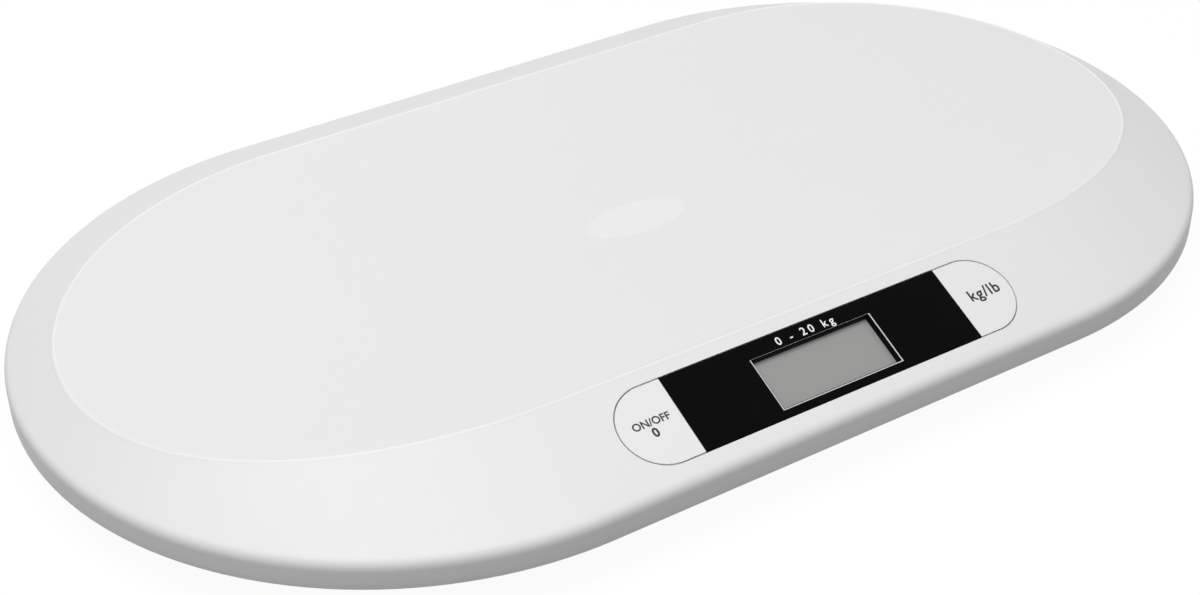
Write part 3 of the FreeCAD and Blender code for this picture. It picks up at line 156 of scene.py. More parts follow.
class StageSettings(bpy.types.PropertyGroup):
    turn: angle("Turn", "Azimuth that the camera looks from", -0.565875)
    lift: angle("Lift", "Elevation that the camera looks from", 0.589815)
    roll: angle("Roll", "Roll of the camera", -0.01297)
    distance: length("Distance", "Camera to its target", 883.303)
    target_x: length("Target X", "Point that the camera looks at, along the casing", -33.907)
    target_y: length("Target Y", "Point that the camera looks at, towards the rear", -26.866)
    target_z: length("Target Z", "Point that the camera looks at, above the floor", 20.0)
    focal: number("Focal length", "Focal length on a 36 mm sensor", 62.3646, min=1.0, unit="CAMERA")
    lamp_x: length("Lamp X", "Middle of the soft lamp, along the casing", -500.0)
    lamp_y: length("Lamp Y", "Middle of the soft lamp, towards the rear", -300.0)
    lamp_z: length("Lamp Z", "Middle of the soft lamp, above the floor", 2160.0)
    lamp_width: length("Lamp width", "Width of the soft lamp", 2200.0)
    lamp_height: length("Lamp height", "Height of the soft lamp", 2000.0)
    lamp_power: number("Lamp power", "Power of the soft lamp", 45.0, unit="POWER")
    room: number("Room", "Strength of the room's even light", 0.25)
    paper: number("Paper", "Grey of the floor's paper under the lamp", 0.07)
    glow: number("Glow", "White that the floor's paper shows by itself", 0.94)


# ---- nodes and materials ----

def add(tree, kind, sockets=None, **settings):
    """Add a node; sockets maps its inputs to values or to other nodes' outputs."""
    node = tree.nodes.new(kind)
    for key, value in settings.items():
        setattr(node, key, value)
    for socket, value in (sockets or {}).items():
        if isinstance(value, bpy.types.NodeSocket):
            tree.links.new(value, node.inputs[socket])
        else:
            node.inputs[socket].default_value = value
    return node


def rgba(value):
    """A colour with full alpha."""
    return (*value, 1.0)


def scaled(base, factor):
    """A colour made paler or darker by the factor, with full alpha."""
    return rgba(min(1.0, channel * factor) for channel in base)


def empty_tree(owner):
    """The node tree of a material or a world, emptied."""
    owner.use_nodes = True
    owner.node_tree.nodes.clear()
    return owner.node_tree


def shader_of(material):
    return next(node for node in material.node_tree.nodes if node.type == "BSDF_PRINCIPLED")


def new_material(name):
    """A material with an empty tree, its shader and its output."""
    material = bpy.data.materials.new(name)
    tree = empty_tree(material)
    shader = add(tree, "ShaderNodeBsdfPrincipled")
    add(tree, "ShaderNodeOutputMaterial", {"Surface": shader.outputs["BSDF"]})
    return material, tree, shader


def moulded(name, base, rough, grain=0.35, depth=0.004, cloud=0.012, spread=0.03, level=0.5, metal=0.0):
    """A moulded or sprayed surface: cloudy colour, uneven gloss and a fine grain.

    grain and depth are the texture's spacing and height in millimetres; a real grain, under 0.1 mm, is
    too fine to show and is drawn coarser. cloud and spread are how far colour and roughness wander."""
    material, tree, shader = new_material(name)
    place = add(tree, "ShaderNodeTexCoord").outputs["Object"]
    shader.inputs["Specular IOR Level"].default_value = level
    shader.inputs["Metallic"].default_value = metal
    clouds = add(tree, "ShaderNodeTexNoise", {"Vector": place, "Scale": 1 / (60 * MM), "Detail": 3.0})
    tint = add(tree, "ShaderNodeMix", {"Factor": clouds.outputs["Fac"], "A": scaled(base, 1 - cloud),
                                       "B": scaled(base, 1 + cloud)}, data_type="RGBA")
    tree.links.new(tint.outputs["Result"], shader.inputs["Base Color"])
    film = add(tree, "ShaderNodeTexNoise", {"Vector": place, "Scale": 1 / (9 * MM), "Detail": 4.0})
    gloss = add(tree, "ShaderNodeMapRange", {"Value": film.outputs["Fac"], "From Min": 0.3, "From Max": 0.7,
                                             "To Min": rough - spread, "To Max": rough + spread})
    tree.links.new(gloss.outputs["Result"], shader.inputs["Roughness"])
    pits = add(tree, "ShaderNodeTexNoise", {"Vector": place, "Scale": 1 / (grain * MM), "Detail": 2.0})
    bump = add(tree, "ShaderNodeBump", {"Height": pits.outputs["Fac"], "Distance": depth * MM})
    tree.links.new(bump.outputs["Normal"], shader.inputs["Normal"])
    return material


def shell_plastic(name, base):
    """ABS from a satin mould: even white, a fine satin grain and a soft highlight.

    A polished gate mark in the middle of the tray shows as a faint paler oval, and a painted highlight
    along the bead around the tray shows as a paler line."""
    material = moulded(name, base, 0.47, grain=0.5, depth=0.003, cloud=0.006, level=0.42)
    tree, shader = material.node_tree, shader_of(material)
    tint, grain = (shader.inputs[socket].links[0].from_socket for socket in ("Base Color", "Normal"))
    place = add(tree, "ShaderNodeTexCoord").outputs["Object"]
    # the mark's half axes, and how far it lies left and in front of the middle, in millimetres
    half_x, half_y, left, front = 25.5, 12.5, 2.5, 7
    spot = add(tree, "ShaderNodeMapping", {"Vector": place, "Location": (left / half_x, front / half_y, 0.0),
                                           "Scale": (1 / (half_x * MM), 1 / (half_y * MM), 0.0)})
    ball = add(tree, "ShaderNodeTexGradient", {"Vector": spot.outputs["Vector"]},
               gradient_type="SPHERICAL")
    mark = add(tree, "ShaderNodeMapRange", {"Value": ball.outputs["Fac"], "From Min": 0.0,
                                            "From Max": 0.08}, interpolation_type="SMOOTHSTEP")
    marked = add(tree, "ShaderNodeMix", {"Factor": mark.outputs["Result"], "A": tint,
                                         "B": scaled(base, 1.04)}, data_type="RGBA")
    # the bead is painted paler along its top: a painted highlight for the bright line that the lamp draws on
    # it
    worn = add(tree, "ShaderNodeAttribute", attribute_name="worn").outputs["Fac"]
    lined = add(tree, "ShaderNodeMix", {"Factor": worn, "A": marked.outputs["Result"],
                                        "B": scaled(base, 1.11)}, data_type="RGBA")
    tree.links.new(lined.outputs["Result"], shader.inputs["Base Color"])
    raised = add(tree, "ShaderNodeBump", {"Height": mark.outputs["Result"], "Distance": 0.04 * MM,
                                          "Normal": grain})
    tree.links.new(raised.outputs["Normal"], shader.inputs["Normal"])
    return material


def brushed(name, base, rough, along=(1.0, 40.0, 40.0)):
    """Rolled or drawn metal: fine lines along the direction that it was worked in.

    The lines are 0.15 mm apart, coarser than real ones, which are too fine to show."""
    material, tree, shader = new_material(name)
    shader.inputs["Metallic"].default_value = 1.0
    shader.inputs["Base Color"].default_value = rgba(base)
    place = add(tree, "ShaderNodeTexCoord").outputs["Object"]
    lines = add(tree, "ShaderNodeMapping", {"Vector": place, "Scale": along})
    grain = add(tree, "ShaderNodeTexNoise", {"Vector": lines.outputs["Vector"], "Scale": 1 / (6 * MM),
                                             "Detail": 5.0})
    gloss = add(tree, "ShaderNodeMapRange", {"Value": grain.outputs["Fac"], "To Min": rough - 0.08,
                                             "To Max": rough + 0.08})
    tree.links.new(gloss.outputs["Result"], shader.inputs["Roughness"])
    bump = add(tree, "ShaderNodeBump", {"Height": grain.outputs["Fac"], "Distance": 0.004 * MM})
    tree.links.new(bump.outputs["Normal"], shader.inputs["Normal"])
    return material


def polariser(name, base):
    """Unlit liquid-crystal glass: flat grey under a thin clear coat."""
    material = moulded(name, base, 0.3, grain=0.8, depth=0.0005, cloud=0.03, spread=0.01, level=0.3)
    shader = shader_of(material)
    shader.inputs["Coat Weight"].default_value = 0.2
    shader.inputs["Coat Roughness"].default_value = 0.25
    return material


def circuit_laminate(name):
    """Glass-epoxy board with green solder mask over copper tracks."""
    material, tree, shader = new_material(name)
    place = add(tree, "ShaderNodeTexCoord").outputs["Object"]
    tracks = add(tree, "ShaderNodeTexBrick", {"Vector": place, "Scale": 1 / (12 * MM),
                                              "Color1": rgba(linear("#1D6B3A")),
                                              "Color2": rgba(linear("#1A6235")),
                                              "Mortar": rgba(linear("#2F8A50")), "Mortar Size": 0.05})
    tree.links.new(tracks.outputs["Color"], shader.inputs["Base Color"])
    film = add(tree, "ShaderNodeTexNoise", {"Vector": place, "Scale": 1 / (4 * MM), "Detail": 3.0})
    gloss = add(tree, "ShaderNodeMapRange", {"Value": film.outputs["Fac"], "To Min": 0.22, "To Max": 0.38})
    tree.links.new(gloss.outputs["Result"], shader.inputs["Roughness"])
    return material


def make_materials():
    """All finishes, by the record's slot."""
    tone = bpy.context.scene.scale_finishes
    return {
        # satin ABS: even, slightly soft highlights
        "white_shell": shell_plastic("satin_abs_shell", tone.shell),
        # ABS with a fine spark-eroded texture, duller than the platform
        "white_base": moulded("textured_abs_base", tone.base, 0.52, 0.6, 0.01),
        # ABS from a smoother mould than the platform's: a crisper highlight
        "key_white": moulded("satin_abs_key", tone.key, 0.36, 0.5, 0.003, 0.006),
        # PMMA band printed black, satin front: deep black with a dim sheen
        "black_band": moulded("black_acrylic_band", tone.band, 0.3, 0.5, 0.002, 0.1, level=0.03),
        # acrylic edge of the window, painted pale grey: a painted highlight
        # for the bright line where the bevel catches the lamp
        "window_edge": moulded("acrylic_edge_painted_highlight", linear("#D4D4D4"), 0.2, 0.5, 0.001, 0.02),
        # polarising film on glass: an even grey with a faint clear gloss
        "lcd_glass": polariser("display_polariser", tone.display),
        # reflector film behind the glass: pale, dull grey
        "lcd_back": moulded("display_reflector", linear("#8E908E"), 0.4, 0.4, 0.003),
        # uncoloured ABS: dull, milky white
        "holder_white": moulded("natural_abs_holder", linear("#DCDCD9"), 0.5, 0.6, 0.006),
        # silicone strip with conductive layers: matte grey
        "strip_rubber": moulded("silicone_strip", linear("#A2A2A4"), 0.7, 0.2, 0.01, 0.06),
        # glass epoxy under solder mask: green, with paler tracks and a low gloss
        "board": circuit_laminate("glass_epoxy_board"),
        # epoxy poured over the processor: black, glossy and a little wavy
        "epoxy": moulded("black_epoxy_blob", linear("#1A1A1A"), 0.25, 2.0, 0.05, 0.2),
        # drawn aluminium: bright, with fine lines up the can
        "can": brushed("aluminium_can", linear("#D5D6D8"), 0.3, (40.0, 40.0, 1.0)),
        # zinc-plated steel: pale blue-grey, soft metal gloss
        "steel": moulded("zinc_plated_steel", tone.zinc, 0.32, 0.3, 0.006, 0.06, 0.06, metal=1.0),
        # moulded PBT: dull black
        "switch_case": moulded("black_pbt_switch", linear("#242424"), 0.5, 0.3, 0.006),
        # moulded POM: black, a little smoother than its switch
        "plunger": moulded("black_pom_plunger", linear("#343434"), 0.4, 0.3, 0.004),
        # printed shrink sleeve on a dry cell: smooth, slightly glossy green
        "battery": moulded("pvc_sleeve_cell", linear("#3E6B4B"), 0.3, 1.5, 0.01, 0.04),
        # nickel plate: warm grey, bright metal gloss
        "contact": moulded("nickel_plated_spring", linear("#CFCBC2"), 0.28, 0.4, 0.004, 0.05, 0.05,
                           metal=1.0),
        # extruded PVC: a soft, dull gloss, in the leads' three colours
        "lead_black": moulded("pvc_lead_black", linear("#222222"), 0.5, 0.5, 0.01, 0.1),
        "lead_red": moulded("pvc_lead_red", linear("#B32222"), 0.5, 0.5, 0.01, 0.06),
        "lead_white": moulded("pvc_lead_white", linear("#D8D8D6"), 0.5, 0.5, 0.01, 0.04),
        # moulded natural rubber: matte, slightly dusty dark grey
        "foot_rubber": moulded("moulded_rubber_pad", tone.pad, 0.78, 0.5, 0.02, 0.12, 0.05),
        # uncoloured ABS: warm white with a fine grain
        "foot_plastic": moulded("natural_abs_foot", linear("#D6D6D3"), 0.5, 0.6, 0.008),
        # rolled steel: fine lines along the sheet
        "cell_steel": brushed("rolled_steel_cell", linear("#B4B7BB"), 0.34),
        # pad printing ink: dull and even, black on the keys and white on the band
        "legend": moulded("black_pad_print", tone.legend, 0.5, 0.3, 0.002, 0.1),
        "figures": moulded("white_pad_print", tone.figures, 0.5, 0.3, 0.002, 0.01),
    }


# ---- helpers for pieces ----

def soften(mesh, degrees=32.0):
    """Smooth shading, sharp where faces meet at more than the angle."""
    mesh.shade_smooth()
    mesh.set_sharp_from_angle(angle=math.radians(degrees))


def new_object(name, data):
    """An object of a mesh, curve, lamp or camera, linked to the scene."""
    piece = bpy.data.objects.new(name, data)
    bpy.context.scene.collection.objects.link(piece)
    return piece


def evaluated_mesh(piece):
    """The object's mesh with its modifiers applied."""
    bpy.context.view_layer.update()
    graph = bpy.context.evaluated_depsgraph_get()
    return bpy.data.meshes.new_from_object(piece.evaluated_get(graph), preserve_all_data_layers=True,
                                           depsgraph=graph)


def modify(piece, name, kind, **settings):
    """Give the piece a modifier with the settings."""
    modifier = piece.modifiers.new(name, kind)
    for key, value in settings.items():
        setattr(modifier, key, value)
    return modifier


def bake(piece):
    """Turn the modifiers' result into the piece's plain mesh and remove them."""
    mesh = evaluated_mesh(piece)
    old = piece.data
    piece.modifiers.clear()
    piece.data = mesh
    bpy.data.meshes.remove(old)


def paint(piece, slot):
    piece.data.materials.clear()
    piece.data.materials.append(MATERIALS[slot])


def settle(piece, body, slot, *nodes):
    """Let a finished piece ride on its body and stand for CAD nodes."""
    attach(piece, body)
    if nodes:
        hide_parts(*nodes)


def merged(node):
    """A CAD node's mesh to work on, with its doubled points merged."""
    work = bmesh.new()
    work.from_mesh(frame["nodes"][node].data)
    bmesh.ops.remove_doubles(work, verts=work.verts, dist=MERGE)
    return work


def mesh_of(work, name):
    """The mesh of a finished work mesh."""
    mesh = bpy.data.meshes.new(name)
    work.to_mesh(mesh)
    work.free()
    return mesh


def dress(node, bevel, segments=2, fit=None):
    """A copy of a CAD node with edges softened by bevel millimetres, which stands for the node.

    fit moves its points first."""
    work = merged(node)
    bmesh.ops.dissolve_limit(work, angle_limit=math.radians(0.3), verts=work.verts, edges=work.edges)
    if fit:
        for vertex in work.verts:
            vertex.co = fit(vertex.co)
    mesh = mesh_of(work, node + "_dressed")
    soften(mesh)
    piece = new_object(node + "_dressed", mesh)
    if bevel:
        # the faces between the edges keep their own shading
        modify(piece, "softened edges", "BEVEL", width=bevel * MM, segments=segments, limit_method="ANGLE",
               angle_limit=math.radians(40.0), use_clamp_overlap=True, harden_normals=True)
        bake(piece)
    paint(piece, SLOT_OF[node])
    settle(piece, BODY_OF[node], SLOT_OF[node], node)


def panel_matrix():
    """Panel plane: x along the casing, y up the slope, z out of the panel."""
    casing, panel = bpy.context.scene.scale_casing, bpy.context.scene.scale_panel
    rise = casing.brow_rise / casing.run_side
    origin = Vector((0.0, panel.inset - casing.half_width,
                     casing.rim_bottom + casing.rim_height + panel.inset * rise))
    return Matrix.Translation(origin) @ Matrix.Rotation(math.atan(rise), 4, "X")


def inside_opening(point):
    """A point of the band or a key, with their outer edge moved in by the gap around them."""
    panel, place = bpy.context.scene.scale_panel, panel_matrix()
    flat = place.inverted() @ point
    reach = panel.band_length / 2 + panel.key_straight
    axis = Vector((max(-reach, min(reach, flat.x)), 0.0, 0.0))
    away = Vector((flat.x, flat.y, 0.0)) - axis
    edge_zone = 2 * MM
    if away.length > panel.width / 2 - edge_zone:
        flat -= away.normalized() * panel.gap
    return place @ flat


def centres_of(node):
    """The middle of each separate solid in a CAD node, front to rear."""
    work = merged(node)
    seen, found = set(), []
    for start in work.verts:
        if start in seen:
            continue
        seen.add(start)
        pending, points = [start], []
        while pending:
            vertex = pending.pop()
            points.append(vertex.co.copy())
            for edge in vertex.link_edges:
                other = edge.other_vert(vertex)
                if other not in seen:
                    seen.add(other)
                    pending.append(other)
        spread = np.array(points)
        found.append(Vector((spread.min(0) + spread.max(0)) / 2))
    work.free()
    return sorted(found, key=lambda centre: (round(centre.y, 4), round(centre.x, 4)))


def skin(work, ring, after):
    """Faces between two rings of points."""
    for index, vertex in enumerate(ring):
        following = (index + 1) % len(ring)
        work.faces.new((vertex, ring[following], after[following], after[index]))


def fill_stadium(work, levels, reach, steps=32):
    """A closed stadium with its round ends centred at -reach and reach, faces outwards.

    levels are (radius, z), from the lowest."""
    rings = []
    for radius, z in levels:
        ring = []
        for side in (1, -1):
            for index in range(steps + 1):
                turn = math.pi * (index / steps - 0.5) + (0.0 if side > 0 else math.pi)
                ring.append(work.verts.new((side * reach + radius * math.cos(turn),
                                            radius * math.sin(turn), z)))
        rings.append(ring)
    for ring, after in zip(rings, rings[1:]):
        skin(work, ring, after)
    work.faces.new(list(reversed(rings[0])))
    work.faces.new(rings[-1])


def fill_box(work, low, high):
    """A box between two corners, faces outwards."""
    corners = [work.verts.new((x, y, z)) for z in (low[2], high[2]) for y in (low[1], high[1])
               for x in (low[0], high[0])]
    for face in ((0, 2, 3, 1), (4, 5, 7, 6), (0, 1, 5, 4), (1, 3, 7, 5), (3, 2, 6, 7), (2, 0, 4, 6)):
        work.faces.new([corners[index] for index in face])


def on_panel(work, name):
    """An object of the finished work mesh, brought from the panel's plane to its place."""
    bmesh.ops.recalc_face_normals(work, faces=work.faces)
    mesh = mesh_of(work, name)
    mesh.transform(panel_matrix())
    return new_object(name, mesh)


# ---- platform ----

# What each point of the lattice carries: its place along the casing's straights and around its ends,
# how far it lies on the border, the rounding and the rim, then on the tray, and how much painted
# highlight it takes along the bead.
LATTICE = ("straight", "turn", "climb", "back", "up", "down", "drop", "inset", "lift",
           "tray", "reach", "step", "rise", "hold", "worn")


def profile_rows(casing):
    """Rows of the platform's skin, from the tray's middle over the rim and back under the tray."""
    rows = []

    def outer(**values):
        rows.append(dict.fromkeys(LATTICE, 0.0) | values)

    def inner(**values):
        outer(tray=1.0, **values)

    lip, drop, bead, half = casing.lip_width, casing.lip_drop, casing.bead, casing.bead_width / 2
    top_rings, under_rings = 36, 18
    for index in range(1, top_rings + 1):
        inner(reach=index / top_rings, step=lip, rise=-drop)
    for share in np.linspace(0.1, 1.0, 7).tolist():
        ease = share * share * (3 - 2 * share)
        inner(reach=1.0, step=lip + share * (half - lip), rise=-drop * (1 - ease), hold=ease)
    # the bead's top carries a painted highlight, strongest at its peak
    crown = [(share, (0.5 + 0.5 * math.cos(math.pi * share)) ** 0.8) for share in (0.8, 0.6, 0.4, 0.2)]
    for share, height in crown:
        inner(reach=1.0, step=share * half, rise=bead * height, hold=1.0, worn=min(1.0, 1.6 * height))
    outer(climb=1.0, lift=bead, worn=1.0)
    for share, height in reversed(crown):
        outer(climb=1.0, back=share * half, lift=bead * height, worn=min(1.0, 1.6 * height))
    outer(climb=1.0, back=half)
    outer(climb=1.0, back=2 * half)
    for climb in np.linspace(0.88, 0.20, 15).tolist():
        outer(climb=climb)
    for share in np.linspace(0.0, 1.0, 11).tolist():
        outer(up=(1 - share) ** 2, down=share ** 2)
    for share in (0.3, 0.7):
        outer(down=1.0, drop=share)
    edge, skirt = 0.5 * MM, casing.skirt
    for turn in np.linspace(0.0, math.pi / 2, 5):
        outer(down=1.0, drop=1.0, inset=edge * (1 - math.cos(turn)),
              lift=edge * (1 - math.sin(turn)) - skirt)
    for share, lift in ((1.0, -skirt), (0.5, 0.0), (0.0, 0.0)):
        outer(down=1.0, drop=share, inset=casing.wall, lift=lift)
    sink = casing.wall * math.hypot(1.0, casing.brow_rise / casing.run_side)
    for climb in np.linspace(0.25, 0.9, 6).tolist():
        outer(climb=climb, lift=-sink)
    for index in range(under_rings, 0, -1):
        inner(reach=index / under_rings, step=lip, rise=-drop - casing.wall)
    return rows


def lattice_mesh(casing, straight_steps=56, arc_steps=80):
    """A closed lattice whose points carry where they belong on the platform."""
    columns = []
    for side in (1.0, -1.0):
        for index in range(straight_steps):
            columns.append((side * (2 * index / straight_steps - 1), -side * math.pi / 2))
        for index in range(arc_steps):
            columns.append((side, math.pi * (index / arc_steps - side * 0.5)))
    rows = profile_rows(casing)
    wide = len(columns)
    around = [{"straight": straight, "turn": turn} for straight, turn in columns]
    poles = [dict.fromkeys(LATTICE, 0.0) | {"tray": 1.0, "rise": row["rise"]} for row in (rows[0], rows[-1])]
    carried = [row | column for row in rows for column in around] + poles
    count = len(rows) * wide
    faces = []
    for j in range(wide):
        k = (j + 1) % wide
        for i in range(0, count - wide, wide):
            faces.append((i + j, i + wide + j, i + wide + k, i + k))
        faces.append((count, j, k))
        faces.append((count + 1, count - wide + k, count - wide + j))
    mesh = bpy.data.meshes.new("platform_lattice")
    mesh.from_pydata([(0.0, 0.0, 0.0)] * len(carried), [], faces)
    for name in LATTICE:
        values = [point[name] for point in carried]
        mesh.attributes.new(name, "FLOAT", "POINT").data.foreach_set("value", values)
    return mesh


PLATFORM_SIZES = ("half_length", "half_width", "rim_bottom", "rim_height", "rim_round", "brow_rise",
                  "run_side", "run_left", "run_right", "brow_left", "brow_right", "waist", "crest_out",
                  "crest_floor", "crest_side", "crest_end")
SIGNS = {"+": "ADD", "-": "SUBTRACT", "*": "MULTIPLY", "/": "DIVIDE", "*+": "MULTIPLY_ADD",
         "cosine": "COSINE", "sine": "SINE", "sqrt": "SQRT"}
# From the sizes and what a point carries to its place: outer_x, outer_y and outer_z on the border, the
# rounding and the wall, and tray_x, tray_y and tray_z on the tray. Each line is one math node.
PLATFORM_FORMULAS = """
cos = cosine turn
sin = sine turn
half_straight = half_length - half_width
middle = straight * half_straight
rim_x = half_width * cos + middle
rim_y = half_width * sin
# the ends differ a little, so each size runs from its left to its right value
rightness = straight * 0.5 + 0.5
run_more = run_right - run_left
run_end = rightness * run_more + run_left
brow_more = brow_right - brow_left
brow_end = rightness * brow_more + brow_left
endness = straight * straight
brow_reach = half_length - run_end
brow_straight = brow_reach - brow_end
brow_middle = straight * brow_straight
brow_x = brow_end * cos + brow_middle
brow_side = half_width - run_side
brow_y = brow_side * sin
run_x = brow_x - rim_x
run_y = brow_y - rim_y
length_square = half_length * half_length
width_square = half_width * half_width
bend_x = crest_end / length_square
bend_y = crest_side / width_square
# the border meets the crest surface where square * f^2 + 2 * half * f + free = 0
run_xx = run_x * run_x
run_yy = run_y * run_y
square_x = bend_x * run_xx
square = bend_y * run_yy + square_x
cross_x = rim_x * run_x
cross_y = rim_y * run_y
half_x = bend_x * cross_x
half_xy = bend_y * cross_y + half_x
half = brow_rise * -0.5 + half_xy
rim_xx = rim_x * rim_x
rim_yy = rim_y * rim_y
floor_above = crest_floor - rim_height
free_x = bend_x * rim_xx + floor_above
free = bend_y * rim_yy + free_x
half_square = half * half
product = square * free
under_root = half_square - product
root = sqrt under_root
bottom_part = root - half
meeting = free / bottom_part
run_square = run_xx + run_yy
run = sqrt run_square
midness = 1.0 - endness
waisted = waist * midness
crest_in = waisted - crest_out
crest_share = crest_in / run
crest = meeting + crest_share
# rounding between wall and border, tangent to both
rise_square = brow_rise * brow_rise
slope_square = run_square + rise_square
slope = sqrt slope_square
over_rise = slope - brow_rise
half_angle = over_rise / run
tangent = rim_round * half_angle
# points of the border, the rim and the wall
up_length = up * tangent
up_share = up_length / slope
back_share = back / run
climbed = climb * crest
forward = climbed + up_share
along = forward - back_share
outer_x0 = along * run_x + rim_x
outer_y0 = along * run_y + rim_y
inset_x = inset * cos
inset_y = inset * sin
outer_x = outer_x0 - inset_x
outer_y = outer_y0 - inset_y
rim_top = rim_bottom + rim_height
border_z = along * brow_rise + rim_top
down_length = down * tangent
wall_height = rim_height - tangent
wall_drop = drop * wall_height
after_down = border_z - down_length
after_drop = after_down - wall_drop
outer_z = after_drop + lift
# points of the tray, scaled towards its middle
crest_x = crest * run_x + rim_x
crest_y = crest * run_y + rim_y
step_share = step / run
lip_x = step_share * run_x + crest_x
lip_y = step_share * run_y + crest_y
tray_x = reach * lip_x
tray_y = reach * lip_y
tray_xx = tray_x * tray_x
tray_yy = tray_y * tray_y
dish_x = bend_x * tray_xx
dish = bend_y * tray_yy + dish_x
tray_floor = rim_bottom + crest_floor
dished = tray_floor + dish
lipped = dished + rise
# the lip joins the crest, which stands off the dish where it was moved
crest_z = crest * brow_rise + rim_top
crest_xx = crest_x * crest_x
crest_yy = crest_y * crest_y
crest_dish_x = bend_x * crest_xx + tray_floor
crest_dish = bend_y * crest_yy + crest_dish_x
stand_off = crest_z - crest_dish
tray_z = hold * stand_off + lipped
"""


def new_tree(name, sizes):
    """A geometry tree with named inputs for its sizes and one for its finish."""
    tree = bpy.data.node_groups.new(name, "GeometryNodeTree")
    tree.interface.new_socket("Geometry", in_out="INPUT", socket_type="NodeSocketGeometry")
    for size in sizes:
        kind = "NodeSocketVector" if size == "tilt" else "NodeSocketFloat"
        tree.interface.new_socket(size, in_out="INPUT", socket_type=kind)
    tree.interface.new_socket("finish", in_out="INPUT", socket_type="NodeSocketMaterial")
    tree.interface.new_socket("Geometry", in_out="OUTPUT", socket_type="NodeSocketGeometry")
    return tree, add(tree, "NodeGroupInput").outputs


def close_tree(tree, geometry, finish):
    """End a tree in Realize Instances and Set Material."""
    real = add(tree, "GeometryNodeRealizeInstances", {"Geometry": geometry})
    painted = add(tree, "GeometryNodeSetMaterial", {"Geometry": real.outputs["Geometry"],
                                                    "Material": finish})
    add(tree, "NodeGroupOutput", {"Geometry": painted.outputs["Geometry"]})


def grow(piece, tree, **values):
    """Run a tree on the piece with the named inputs and keep the result as its plain mesh."""
    modifier = modify(piece, tree.name, "NODES", node_group=tree)
    for item in tree.interface.items_tree:
        if item.in_out == "INPUT" and item.name in values:
            modifier[item.identifier] = values[item.name]
    bake(piece)


def platform_tree():
    """The tree that brings each point of the lattice to its place on the platform."""
    tree, inputs = new_tree("platform skin", PLATFORM_SIZES)
    at = {size: inputs[size] for size in PLATFORM_SIZES}
    for name in LATTICE:
        at[name] = add(tree, "GeometryNodeInputNamedAttribute", {"Name": name},
                       data_type="FLOAT").outputs["Attribute"]
    for line in PLATFORM_FORMULAS.strip().splitlines():
        if not line.startswith("#"):
            result, _, *words = line.split()
            operation = SIGNS["".join(word for word in words if word in SIGNS)]
            terms = [at[word] if word in at else float(word) for word in words if word not in SIGNS]
            at[result] = add(tree, "ShaderNodeMath", dict(enumerate(terms)),
                             operation=operation).outputs["Value"]
    outer, inner = (add(tree, "ShaderNodeCombineXYZ", {0: at[side + "_x"], 1: at[side + "_y"],
                                                       2: at[side + "_z"]}) for side in ("outer", "tray"))
    place = add(tree, "ShaderNodeMix", {"Factor": at["tray"], 4: outer.outputs["Vector"],
                                        5: inner.outputs["Vector"]}, data_type="VECTOR")
    moved = add(tree, "GeometryNodeSetPosition", {"Geometry": inputs["Geometry"],
                                                  "Position": place.outputs[1]})
    close_tree(tree, moved.outputs["Geometry"], inputs["finish"])
    return tree


class SCALE_OT_platform(bpy.types.Operator):
    """Make the dished platform with its border, rim and panel recess"""
    bl_idname = "baby_scale.platform"
    bl_label = "Platform"

    def execute(self, context):
        casing, panel = context.scene.scale_casing, context.scene.scale_panel
        piece = new_object("platform_skin", lattice_mesh(casing))
        sizes = {size: getattr(casing, size) for size in PLATFORM_SIZES}
        grow(piece, platform_tree(), finish=MATERIALS["white_shell"], **sizes)
        # only the bead's painted highlight is needed later, by the finish
        for name in LATTICE[:-1]:
            piece.data.attributes.remove(piece.data.attributes[name])

        reach = panel.band_length / 2 + panel.key_straight
        radius, edge = panel.width / 2, panel.chamfer
        outside = radius + casing.wall
        work = bmesh.new()
        fill_stadium(work, [(outside, -panel.recess - panel.floor), (outside, -0.6 * MM)], reach)
        block = on_panel(work, "panel_block")

        work = bmesh.new()
        fill_stadium(work, [(radius, -panel.recess), (radius, -edge), (radius + 3 * edge, 2 * edge),
                            (radius + 3 * edge, 4 * MM)], reach, 48)
        recess = on_panel(work, "panel_recess")

        # openings in the recess's floor: the display, each key's post and each key's two hooks
        work = bmesh.new()
        low, high = -panel.recess - panel.floor - 0.5 * MM, -panel.recess + 0.5 * MM
        display_x, display_front, display_rear = 32.4 * MM, -15.9 * MM, 14.9 * MM
        post_place, post_half = 81 * MM, 3 * MM
        hook_half, hook_near, hook_far = 2.3 * MM, 10.7 * MM, 13.4 * MM
        fill_box(work, (-display_x, display_front, low), (display_x, display_rear, high))
        for side in (-1, 1):
            post, hook = side * post_place, side * reach
            fill_box(work, (post - post_half, -post_half, low), (post + post_half, post_half, high))
            for front, rear in ((-hook_far, -hook_near), (hook_near, hook_far)):
                fill_box(work, (hook - hook_half, front, low), (hook + hook_half, rear, high))
        holes = on_panel(work, "panel_holes")

        for operation, tool in (("UNION", block), ("DIFFERENCE", recess), ("DIFFERENCE", holes)):
            modify(piece, tool.name, "BOOLEAN", operation=operation, object=tool, solver="EXACT")
        bake(piece)
        for tool in (block, recess, holes):
            bpy.data.objects.remove(tool)
        soften(piece.data, 28.0)
        paint(piece, "white_shell")
        settle(piece, "casing", "white_shell", "platform_shell")
        return {"FINISHED"}


class SCALE_OT_base(bpy.types.Operator):
    """Make the pan under the platform and the battery cover in it"""
    bl_idname = "baby_scale.base"
    bl_label = "Base and battery cover"

    def execute(self, context):
        dress("base_plate", 0.3)
        dress("battery_cover", 0.25)
        return {"FINISHED"}


class SCALE_OT_feet(bpy.types.Operator):
    """Make the feet with their pads, holders and load cells"""
    bl_idname = "baby_scale.feet"
    bl_label = "Feet"

    def execute(self, context):
        parts = (("foot_pad_", 0.25), ("foot_cap_", 0.25), ("cell_holder_", 0.2), ("load_cell_", 0.12))
        for corner in CORNERS:
            for part, bevel in parts:
                dress(part + corner, bevel)
        return {"FINISHED"}


